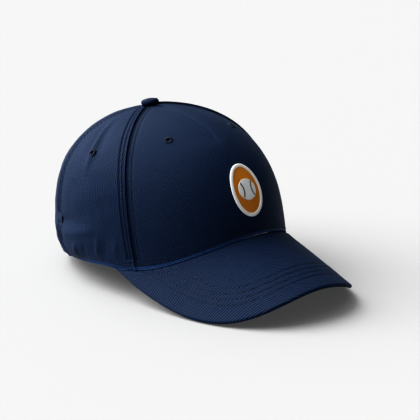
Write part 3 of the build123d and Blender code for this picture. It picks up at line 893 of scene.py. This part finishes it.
def visor_cover(name, upper, node):
    """One cover of the visor, curling half way round the board's edge, as a closed skin."""
    edge, root, spread, length = visor_spokes()
    half = VISOR_THICKNESS / 2
    long = np.maximum(length, 1e-6)
    curl = np.minimum(half, 0.45 * length) / long
    turn = np.linspace(0, math.pi / 2, CURL_ROWS + 1)[1:, None]
    share = np.concatenate([np.linspace(0, 1, VISOR_FLAT_ROWS)[:, None] * (1 - curl),
                            1 - curl * (1 - np.sin(turn))])
    plan = root + share[..., None] * (edge - root)
    distance = edge_distance(plan)
    along = np.linspace(0, arc_lengths(edge * (1, UNROLL))[-1], VISOR_COLUMNS)[None]
    points, normal = visor_surface(plan, np.zeros(distance.shape))
    relief = visor_relief(plan, root, upper, points, along, distance)
    relief *= np.clip(length / 6, 0, 1) * np.clip(distance / 2.5, 0, 1)
    depth, inward, pinch = np.zeros((3, *distance.shape))
    depth[VISOR_FLAT_ROWS:] = half * (1 - np.cos(turn))
    inward[VISOR_FLAT_ROWS:] = COVER_PLY * np.sin(turn)
    pinch[-1] = 0.35
    inner_depth = np.minimum(depth + COVER_PLY, half)
    if not upper:
        depth, inner_depth, relief = VISOR_THICKNESS - depth, VISOR_THICKNESS - inner_depth, -relief
    toward = (root - edge) / long[:, None]
    squeeze = np.clip(length / 4, 0, 1)
    outer = visor_surface(plan + (pinch * squeeze)[..., None] * toward, depth)[0]
    outer += normal * relief[..., None]
    inner = visor_surface(plan + (inward * squeeze)[..., None] * toward, inner_depth)[0]
    for net in (outer, inner):
        net[..., 2] -= root_sag(spread, share)
    return sheet(name, outer, inner, plan * (1, UNROLL), visor_twill, "navy_twill", node)


def visor_rows(upper, find):
    """Stitch rows at even distances from the visor's edge, running up to the crown."""
    outline = visor_outline(600)
    edge, normal = visor_surface(outline, np.zeros(600))
    inward = unit(np.cross(normal, np.gradient(edge, axis=0)))[:, :2]
    inward *= np.sign((inward * (outline.mean(0) - outline)).sum(1, keepdims=True))[:1]
    parts = []
    for row in VISOR_ROW_DISTANCES:
        steps = np.linspace(0, row * 1.1, 80)
        ways = on_visor(outline[:, None] + inward[:, None] * steps[:, None]) - edge[:, None]
        reach = np.linalg.norm(ways, axis=2)
        plan = outline + inward * np.array([[np.interp(row, line, steps)] for line in reach])
        rim = np.hypot(*rim_place(np.arctan2(-plan[:, 0], -plan[:, 1])))
        plan = plan[(edge_distance(plan) > row - 0.25) & (np.hypot(*plan.T) > rim + 0.8)]
        point, up = visor_surface(plan, np.full(len(plan), 0.0 if upper else VISOR_THICKNESS))
        parts += stitch_row(point, up if upper else -up, find)
    return parts


def visor_board():
    """The stiff sheet between the covers, as a closed skin."""
    edge, root, spread, length = visor_spokes(-BOARD_INSET)
    wide = length > BOARD_SHORTEST
    edge, root, spread, begin = edge[wide], root[wide], spread[wide], BOARD_SETBACK / length[wide]
    share = begin + np.linspace(0, 1, 24)[:, None] * (1 - begin)
    plan = root + share[..., None] * (edge - root)
    nets = [visor_surface(plan, np.full(share.shape, depth))[0] for depth in BOARD_DEPTHS]
    for net in nets:
        net[..., 2] -= root_sag(spread, share)
    board = make_object("visor_board_sheet", *skin(*nets), board_plastic)
    settle(board, "visor_plastic", "visor_board")


visor_board()
covers = [visor_cover("visor_" + word + "_cloth", upper, "visor_" + word + "_cover")
          for word, upper in VISOR_FACES]
for (word, upper), cover in zip(VISOR_FACES, covers):
    sewn("visor_" + word + "_stitches", visor_rows(upper, surface_finder(cover)))

# ---------------------------------------------------------------- the button
BUTTON_RADIUS = 7.2
BUTTON_ROUND = 2.6  # radius of the button's rolled side
BUTTON_LIFT = 0.15
BUTTON_CENTRE = (0, 0, CROWN_HEIGHT + BUTTON_LIFT)
# Outline of the metal shell inside the cloth, with its shank down through the washer, (radius, height).
SHELL_PROFILE = ((1.6, -5.15), (2.4, -5.0), (2.6, -4.7), (2.6, -0.1), (5.6, 0.1), (6.0, 0.5), (6.1, 1.6),
                 (5.7, 2.7), (4.2, 3.4), (2.2, 3.7), (0.3, 3.8))
SHELL_SIDES = 48


def revolved(profile, columns=96, ripple=0.0):
    """Net of a turned shape about the button's axis, from (radius, height) pairs."""
    turn = np.linspace(0, 2 * math.pi, columns, endpoint=False)
    radius, height = np.array(profile).T[..., None]
    low = np.clip(1 - height / 2.5, 0, 1)
    radius = radius * (1 + ripple * low * np.sin(turn * 19) * np.sin(turn * 7 + 1))
    height = np.broadcast_to(height, radius.shape)
    return BUTTON_CENTRE + np.stack([radius * np.cos(turn), radius * np.sin(turn), height], -1)


button_profile = [(BUTTON_RADIUS - BUTTON_ROUND * (1 - math.cos(t)),
                   1.7 + (2.6 if t < 0 else 2.5) * math.sin(t)) for t in np.linspace(-1.2, math.pi / 2, 18)]
button_profile += [(r, 4.2 + 0.6 * (1 - (r / 4.6) ** 2)) for r in (3.8, 3.0, 2.0, 1.0, 0.05)]
button_outer = revolved(button_profile, ripple=0.012)
button_inner = revolved([(max(r - (0.7 if h < 4.5 else 0.2), 0.03), min(h, 3.9) if h > 1 else h)
                         for r, h in button_profile])
uv = button_outer[..., :2] + button_outer[..., 2:] * (0, 1)
sheet("button_cloth", button_outer, button_inner, uv, button_twill, "navy_twill", "top_button_cover",
      wrap=True)
shell_net = revolved(SHELL_PROFILE, SHELL_SIDES).reshape(-1, 3)
shell_faces = [list(range(SHELL_SIDES))[::-1],
               *grid_faces(len(SHELL_PROFILE), SHELL_SIDES, wrap=True).tolist(),
               list(range(len(shell_net) - SHELL_SIDES, len(shell_net)))]
shell = make_object("button_shell", shell_net, shell_faces, metal, sharp=30)
settle(shell, "dark_metal", "top_button_shell")

# ---------------------------------------------------------------- the badge
BADGE_SIZE = np.array([29.0, 43.0])
BADGE_CENTRE_HEIGHT = 36.0
BADGE_RINGS = 30
BALL_SIZE = 17.0
badge_rise = rise_at_height(0.0, BADGE_CENTRE_HEIGHT)
badge_up = arc_lengths(crown_point(0.0, np.linspace(0, badge_rise, 400)))[-1]
badge_radius = float(np.linalg.norm(crown_point(0.0, badge_rise)[:2]))
rise_table = np.linspace(0, 1.4, 800)
up_table = arc_lengths(crown_point(0.0, rise_table))


def on_badge(across, up, height):
    """Points over the front panel, across to the wearer's left and up from its centre, and normals."""
    angles = -across / badge_radius
    rises = np.interp(badge_up + up, up_table, rise_table)
    normal = crown_normal(angles, rises)
    return crown_point(angles, rises) + normal * height[..., None], normal


def badge_disc(name, size, low, top, edge, material, *nodes):
    """A flat embroidered oval, rounded at its edge, as a closed solid on the front panel."""
    turn = np.linspace(0, 2 * math.pi, 160, endpoint=False)
    bend = np.linspace(0, math.pi / 2, CURL_ROWS)[1:]
    flat = np.linspace(0.004, 1 - edge, BADGE_RINGS)
    radii = np.concatenate([flat, 1 - edge * (1 - np.sin(bend))])[:, None]
    lift = np.concatenate([np.ones(BADGE_RINGS), np.cos(bend) ** 0.7])[:, None]
    across = radii * np.cos(turn) * size[0] / 2
    up = radii * np.sin(turn) * size[1] / 2
    outer, _ = on_badge(across, up, np.broadcast_to(low + (top - low) * lift, across.shape))
    inner, _ = on_badge(across, up, np.full(across.shape, low - 0.1))
    uv = np.stack([across, up], -1)
    sheet(name, outer[::-1], inner[::-1], uv[::-1], material, "badge_cloth", *nodes, wrap=True)


def badge_cord(across, up, height, width, tall, threads, closed=False):
    """A wound cord lying on the badge along a line, with a ridge for each thread."""
    path, normal = on_badge(across, up, np.full(len(across), height))
    way = np.roll(path, -1, 0) - np.roll(path, 1, 0) if closed else np.gradient(path, axis=0)
    side = unit(np.cross(unit(way), normal))
    ridge = 1 + 0.10 * np.abs(np.sin(np.arange(len(path)) * math.pi * threads / len(path)))
    return tube(path, side, normal, oval(width, tall, 12, 0.85) * ridge[:, None, None], closed)


badge_disc("badge_field", BADGE_SIZE - 2, 0.1, 0.75, 0.04, badge_gold, "front_badge")
border = badge_cord(*(circle(720) * (BADGE_SIZE - 2.8) / 2).T, 0.62, 2.8, 1.6, 170, True)
settle(join("badge_border", [border], badge_white), "badge_cloth")
badge_disc("badge_ball", (BALL_SIZE, BALL_SIZE), 0.6, 1.15, 0.08, badge_white)
bend = np.linspace(-0.72, 0.72, 60)
arcs = [badge_cord(side * BALL_SIZE * (0.62 - np.cos(bend) * 0.40), np.sin(bend) * BALL_SIZE * 0.50,
                   1.2, 0.7, 0.6, 16) for side in (1, -1)]
settle(join("badge_ball_seams", arcs, badge_navy), "badge_cloth")

# ---------------------------------------------------------------- inside the crown
TAPE_WIDTH = 12.0
TAPE_DEPTHS = (1.95, 2.65)
TAPE_TOP_RADIUS = 14.0
TAPE_LOW = 9.0
BACK_TAPE_LOW = 52.0
TAPE_DIP = (0.5, 0.16)
BUCKRAM_END = FRONT_SEAM - 2.0
BUCKRAM_DEPTH = 1.2
BUCKRAM_THICKNESS = 0.55
BUCKRAM_LOW = 9.0
BUCKRAM_TOP_RADIUS = 16.0
SWEATBAND_END = 149.0
SWEATBAND_HEIGHT = 32.0
SWEATBAND_DEPTH = 4.5
SWEATBAND_THICKNESS = 1.0
SWEATBAND_FLARE = 2.3  # how far its lower edge turns out to meet the rim
SWEATBAND_ROWS = (3.4, 27.8)
SWEATBAND_DIPS = ((0.7, 0.3), (0.6, 0.25))  # width and depth of each row's groove
SWEATBAND_HEM = 26.5  # the band is folded double above this
SWEATBAND_HEM_THICKNESS = 0.35
SWEATBAND_PUCKERS = (5.5, 4.0, 0.16)
SWEATBAND_RIPPLES = 105
PADDING_END = 52.0
PADDING_HEIGHTS = (9.0, 28.0)
PADDING_DEPTHS = (2.9, 4.3)
WEAVE_RADIUS = 95  # turns angles into weave places on the layers


def crown_band(end, low, high, rows, columns):
    """An even net over the front of the crown: low and high give rises along the meridians at angles."""
    angles = np.radians(np.linspace(-end, end, columns))
    share = np.linspace(0, 1, rows)[:, None]
    roundness = shaped(TOP_ROUNDNESS, angles)
    bottom, top = np.maximum(low(angles), 1e-6) ** roundness, high(angles) ** roundness
    rises = (bottom + (top - bottom) * share) ** (1 / roundness)
    return np.broadcast_to(angles, rises.shape), rises, share


def rounded(share, power=8):
    """Thickness across a strip, 1 in the middle and 0 at its edges; share runs from 0 to 1."""
    return np.sqrt(np.clip(1 - np.abs(2 * share - 1) ** power, 0.0, 1))


def seam_tape(name, seam, low_up, node):
    """Woven tape up a seam inside the crown, with its two rows of stitches."""
    seam = math.radians(seam)
    rises = np.linspace(crown_places(seam, low_up), rise_at_radius(seam, TAPE_TOP_RADIUS), 110)[:, None]
    across = np.linspace(-1, 1, 15) * TAPE_WIDTH / 2
    middle = crown_point(seam, rises, TAPE_DEPTHS[0])
    angles = seam + across / np.hypot(middle[..., 0], middle[..., 1])
    rises = np.broadcast_to(rises, angles.shape)
    base = crown_point(angles, rises)
    normal = crown_normal(angles, rises)
    lift = shared_relief(base, angles, np.where(turned(angles) > 0, 1, -1))
    lift += 0.12 * fractal(base, 5.0, 41, 2)
    thick = (TAPE_DEPTHS[1] - TAPE_DEPTHS[0]) * (0.25 + 0.75 * rounded(across / TAPE_WIDTH + 0.5))
    thick = thick - bump(np.abs(across), ROW_OFFSET, *TAPE_DIP)
    outer = crown_point(angles, rises, TAPE_DEPTHS[0]) + normal * lift[..., None]
    inner = outer - normal * thick[:, None]
    uv = np.stack([np.broadcast_to(across, angles.shape), rises * 100], -1)
    sheet(name, outer[:, ::-1], inner[:, ::-1], uv[:, ::-1], tape_twill, "navy_tape", node)
    columns = [np.abs(across - offset).argmin() for offset in (-ROW_OFFSET, ROW_OFFSET)]
    return [stitch for k in columns for stitch in stitch_row(inner[:, k], -normal[:, k])]


def layer(name, angles, rises, depth, thick, material, slot, node):
    """A closed cloth layer inside the crown from nets of depth and thickness."""
    normal = crown_normal(angles, rises)
    base = crown_point(angles, rises)
    outer = base - normal * depth[..., None]
    inner = base - normal * (depth + thick)[..., None]
    up = np.cumsum(np.linalg.norm(np.diff(base, axis=0, prepend=base[:1]), axis=2), axis=0)
    uv = np.stack([angles * WEAVE_RADIUS, up], -1)
    return sheet(name, outer[:, ::-1], inner[:, ::-1], uv[:, ::-1], material, slot, node), inner, normal


rows = []
for part, angle in (("front", FRONT_SEAM), ("rear", REAR_SEAM)):
    for word, side in SIDES:
        rows += seam_tape(part + "_seam_tape_cloth_" + word, side * angle, TAPE_LOW,
                          part + "_seam_tape_" + word)
rows += seam_tape("back_seam_tape_cloth", 180.0, BACK_TAPE_LOW, "back_seam_tape")
rows += seam_tape("dart_tape_cloth", 0.0, DART_LOW_UP, "dart_tape")
sewn("tape_stitches", rows)

angles, rises, _ = crown_band(BUCKRAM_END, lambda a: np.array([crown_places(v, BUCKRAM_LOW) for v in a]),
                              lambda a: rise_at_radius(a, BUCKRAM_TOP_RADIUS), 60, 90)
depth = BUCKRAM_DEPTH - shared_relief(crown_point(angles, rises), angles, np.ones(angles.shape))
buckram, _, _ = layer("front_buckram", angles, rises, depth, BUCKRAM_THICKNESS, buckram_mesh,
                      "white_buckram", "front_stiffener")
for part, axes in eyelets[:2]:
    cut(buckram, *eyelet_cutter(*axes))

angles, rises, share = crown_band(SWEATBAND_END, lambda a: np.full(a.shape, 1e-4),
                                  lambda a: rise_at_height(a, SWEATBAND_HEIGHT), 46, 300)
up = share * SWEATBAND_HEIGHT
base = crown_point(angles, rises)
puckers = np.sin(angles * SWEATBAND_RIPPLES + 2.0 * fractal(base, 25.0, 51, 2))
depth = SWEATBAND_DEPTH - SWEATBAND_FLARE * np.clip(1 - up / 7, 0, 1) ** 2
depth = depth + 0.25 * fractal(base, 14.0, 52) + puckers * bump(up, *SWEATBAND_PUCKERS)
hem_fold = SWEATBAND_HEM_THICKNESS / (1 + np.exp((SWEATBAND_HEM - up) / 0.3))
stitch_dip = sum(bump(up, height, *dip) for height, dip in zip(SWEATBAND_ROWS, SWEATBAND_DIPS))
thick = (SWEATBAND_THICKNESS + hem_fold - stitch_dip) * (0.15 + 0.85 * rounded(share, 14))
_, inner, normal = layer("sweatband_cloth", angles, rises, depth, thick, band_cloth, "sweatband_fabric",
                         "sweatband")
rows = []
for height in SWEATBAND_ROWS:
    row = np.abs(up[:, 0] - height).argmin()
    rows += stitch_row(inner[row, 3:-3], -normal[row, 3:-3])
sewn("sweatband_stitches", rows)

angles, rises, share = crown_band(PADDING_END, lambda a: rise_at_height(a, PADDING_HEIGHTS[0]),
                                  lambda a: rise_at_height(a, PADDING_HEIGHTS[1]), 24, 100)
full = rounded(share, 6) * rounded(np.linspace(0, 1, 100), 24)
room = PADDING_DEPTHS[1] - PADDING_DEPTHS[0]
thick = room * (0.2 + 0.8 * full)
padding, _, _ = layer("forehead_padding", angles, rises, PADDING_DEPTHS[0] + (room - thick) / 2, thick,
                      foam, "padding_foam", "sweatband_padding")

# ---------------------------------------------------------------- rear opening, strap and keeper
BINDING_MIDDLE = 42.0
BINDING_START = 0.045  # radians above the arch's centre, where the rim is
BINDING_SECTION = (4.2, 1.9)
BINDING_DEPTH = 0.4
STRAP_ENDS = (138.0, 209.0)
STRAP_LOW = 2.0
STRAP_WIDTH = 20.0
STRAP_MIDDLE = STRAP_LOW + STRAP_WIDTH / 2
STRAP_ROW_INSET = 2.2
STRAP_DIP = (0.5, 0.2)  # width and depth of a row's groove
STRAP_DEPTHS = (3.3, 4.5)
BUCKLE_ANGLE = 191.0
BAR_X = 12.5
PIN_Z = -1.6
KEEPER_ENDS = (201.5, 222.0)
KEEPER_DEPTHS = (1.65, 2.35)
KEEPER_THICKNESS = 0.6
KEEPER_LOOP = 1.25  # from the bar's axis to the middle of the strap round it
KEEPER_ROWS = (204.0, 206.5)
KEEPER_ROW_SPAN = (4.0, 20.0)
KEEPER_ROW_DEPTH = 1.7
SOLVER_STEPS = 30
SOLVER_DAMPING = 0.8


def crown_solve(x, z):
    """Angles and rises where the back of the crown passes over given x and z, by damped Newton steps."""
    angle = math.pi + np.arcsin(np.clip(x / CROWN_BACK_LENGTH, -1, 1))
    rise = np.full(len(x), 0.4)
    step = 1e-4
    for _ in range(SOLVER_STEPS):
        here = crown_point(angle, rise)
        by_angle = (crown_point(angle + step, rise) - here) / step
        by_rise = (crown_point(angle, rise + step) - here) / step
        miss_x, miss_z = x - here[:, 0], z - here[:, 2]
        det = by_angle[:, 0] * by_rise[:, 2] - by_rise[:, 0] * by_angle[:, 2]
        angle = angle + SOLVER_DAMPING * (miss_x * by_rise[:, 2] - by_rise[:, 0] * miss_z) / det
        rise = rise + SOLVER_DAMPING * (by_angle[:, 0] * miss_z - miss_x * by_angle[:, 2]) / det
        rise = np.clip(rise, 0.002, 1.2)
    return angle, rise


def strip_uv(places, sides, width):
    """Weave places round and along a swept strip."""
    return np.array([(a * width, b) for b in places for a in np.linspace(-1, 1, sides)]) * MM


turn = np.linspace(BINDING_START, math.pi - BINDING_START, 160)
arch = BINDING_MIDDLE * np.array([np.cos(turn), np.sin(turn)])
angles, rises = crown_solve(arch[0], ARCH_CENTRE_HEIGHT + arch[1])
normal = crown_normal(angles, rises)
path = crown_point(angles, rises) - normal * BINDING_DEPTH
path = path + normal * shared_relief(path, angles, np.sign(turned(angles)))[:, None]
across = unit(np.cross(normal, unit(np.gradient(path, axis=0))))
wobble = np.stack([1 + 0.05 * fractal(path, 4.0, 61, 2), 1 + 0.1 * fractal(path, 3.0, 62, 2)], -1)
points, faces = tube(path, across, normal, oval(*BINDING_SECTION, 20, 0.5) * wobble[:, None])
binding = make_object("arch_binding_cloth", points, faces, tape_twill, strip_uv(arc_lengths(path), 20, 4))
settle(binding, "navy_tape", "arch_binding")
find = surface_finder(binding)
sewn("binding_stitches", [stitch for way in (normal, -normal)
                          for stitch in stitch_row(path[6:-6], way[6:-6], find)])

share = np.linspace(0, 1, 30)[:, None]
heights = STRAP_LOW + STRAP_WIDTH * (0.5 - 0.5 * np.cos(share * math.pi))
angles = np.radians(np.linspace(*STRAP_ENDS, 150))
rises = rise_at_height(angles, heights)
angles = np.broadcast_to(angles, rises.shape)
full = rounded((heights - STRAP_LOW) / STRAP_WIDTH, 10) * rounded(np.linspace(0, 1, 150), 60)
row_heights = (STRAP_LOW + STRAP_ROW_INSET, STRAP_LOW + STRAP_WIDTH - STRAP_ROW_INSET)
dips = sum(bump(heights, height, *STRAP_DIP) for height in row_heights)
room = STRAP_DEPTHS[1] - STRAP_DEPTHS[0]
thick = (room - dips) * (0.2 + 0.8 * full)
strap, inner, normal = layer("adjusting_strap_cloth", angles, rises, STRAP_DEPTHS[0] + (room - thick) / 2,
                             thick, strap_twill, "navy_twill", "adjusting_strap")
find = surface_finder(strap)
rows = []
for height in row_heights:
    row = np.abs(heights[:, 0] - height).argmin()
    line, out = inner[row, 4:-4], normal[row, 4:-4]
    rows += stitch_row(line + out, out, find) + stitch_row(line, -out, find)
sewn("strap_stitches", rows)

# The keeper: a strip from the back of the crown, round the buckle's end bar and back.
angle = math.radians(BUCKLE_ANGLE)
origin, buckle_x, buckle_y, buckle_z = surface_frame(angle, rise_at_height(angle, STRAP_MIDDLE))
turn = np.linspace(math.pi / 2, 3 * math.pi / 2, 14)
loop = (origin - (BAR_X + KEEPER_LOOP * np.cos(turn))[:, None] * buckle_x
        + (PIN_Z + KEEPER_LOOP * np.sin(turn))[:, None] * buckle_z)
angles = np.radians(np.linspace(*KEEPER_ENDS, 16))
rises = rise_at_height(angles, STRAP_MIDDLE)
bands = [crown_point(angles, rises, depth) for depth in KEEPER_DEPTHS]
across = np.array([-surface_frame(a, r)[2] for a, r in zip(angles, rises)])
path = np.concatenate([bands[0][::-1], loop, bands[1]])
across = np.concatenate([across[::-1], np.broadcast_to(-buckle_y, (14, 3)), across])
arc = arc_lengths(path)
places = np.linspace(0, arc[-1], 140)
across = unit(blend(places, arc, across))
path = blend(places, arc, path)
for _ in range(3):
    path[1:-1] = 0.25 * path[:-2] + 0.5 * path[1:-1] + 0.25 * path[2:]
out = unit(np.cross(unit(np.gradient(path, axis=0)), across))
points, faces = tube(path, across, out, oval(STRAP_WIDTH - 0.6, KEEPER_THICKNESS, 24, 0.35))
keeper = make_object("buckle_keeper_cloth", points, faces, strap_twill, strip_uv(places, 24, 10))
settle(keeper, "navy_twill", "buckle_keeper")
rows = []
for angle in np.radians(KEEPER_ROWS):
    rises = rise_at_height(angle, np.linspace(*KEEPER_ROW_SPAN, 30))
    rows += stitch_row(crown_point(angle, rises, KEEPER_ROW_DEPTH), crown_normal(angle, rises),
                       surface_finder(keeper))
sewn("keeper_stitches", rows)

# ---------------------------------------------------------------- CAD pieces that stay
for node in ("buckle_base", "buckle_pin", "buckle_lever", "button_washer"):
    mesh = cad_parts[node].data
    mesh.materials.clear()
    mesh.materials.append(metal)

# ---------------------------------------------------------------- floor, light and camera
FLOOR_HALF = 12.0
FLOOR_GLOW = 0.07  # keeps the shadows as pale as on a light table
SKY_DIRECTION = (-0.3, 0.75, 0.6)  # the brightest part of the studio, high behind the cap
SKY_RANGE = (-0.2, 1.0, 0.05, 0.35)  # least and most of that direction, and the strength at each
CAMERA_AZIMUTH = -41.2
CAMERA_ELEVATION = 16.6
CAMERA_DISTANCE = 1.6146
CAMERA_LENS = 172.4
CAMERA_TARGET = Vector((0.0, 0.0140, 0.0652))
VIEW_OFFSET = (0.01846, -0.01249)  # aim to the right of and below the target, in metres


def towards(azimuth, elevation):
    """Direction to a place round the cap: azimuth 0 is in front of the visor, in degrees."""
    turn, rise = math.radians(azimuth), math.radians(elevation)
    return Vector((math.sin(turn) * math.cos(rise), -math.cos(turn) * math.cos(rise), math.sin(rise)))


def place(name, data, way):
    """A light or camera object in the scene that looks along a way."""
    obj = bpy.data.objects.new(name, data)
    obj.rotation_euler = way.to_track_quat("-Z", "Y").to_euler()
    bpy.context.scene.collection.objects.link(obj)
    return obj


def sun_light(name, azimuth, elevation, softness, strength):
    """Even light from far away."""
    data = bpy.data.lights.new(name, "SUN")
    data.angle = math.radians(softness)
    data.energy = strength
    place(name, data, -towards(azimuth, elevation))


floor_mesh = bpy.data.meshes.new("floor")
corners = [(x * FLOOR_HALF, y * FLOOR_HALF, 0) for x, y in ((-1, -1), (1, -1), (1, 1), (-1, 1))]
floor_mesh.from_pydata(corners, [], [(0, 1, 2, 3)])
floor = bpy.data.objects.new("floor", floor_mesh)
bpy.context.scene.collection.objects.link(floor)
floor_mesh.materials.append(new_material("pale_floor", (0.40, 0.40, 0.40), 0.9, Specular_IOR_Level=0.1,
                                         Emission_Color=(1, 1, 1, 1), Emission_Strength=FLOOR_GLOW)[0])

world = bpy.data.worlds.new("studio")
bpy.context.scene.world = world
world.use_nodes = True
sky = world.node_tree.nodes["Background"]
sky.inputs["Color"].default_value = (1, 1, 1, 1)
sky_place = add(world.node_tree, "ShaderNodeTexCoord").outputs["Generated"]
sky_height = add(world.node_tree, "ShaderNodeVectorMath", sky_place, operation="DOT_PRODUCT")
sky_height.inputs[1].default_value = SKY_DIRECTION
world.node_tree.links.new(mapped(world.node_tree, sky_height.outputs["Value"], *SKY_RANGE),
                          sky.inputs["Strength"])
bpy.context.scene.view_settings.view_transform = "Standard"
bpy.context.scene.view_settings.look = "Very High Contrast"

sun_light("key", -138, 45, 60, 2.75)
sun_light("back", -168, 44, 60, 1.2)
sun_light("top", -90, 80, 50, 0.3)
sun_light("right", 150, 25, 40, 0.06)
sun_light("fill", -41, 25, 60, 0.06)

back = towards(CAMERA_AZIMUTH, CAMERA_ELEVATION)
right = towards(CAMERA_AZIMUTH + 90, 0)
aim = right * VIEW_OFFSET[0] + back.cross(right) * VIEW_OFFSET[1] - back * CAMERA_DISTANCE
lens = bpy.data.cameras.new("camera")
lens.lens = CAMERA_LENS
lens.sensor_width = 36
camera = place("camera", lens, aim)
camera.location = CAMERA_TARGET + back * CAMERA_DISTANCE
bpy.context.scene.camera = camera
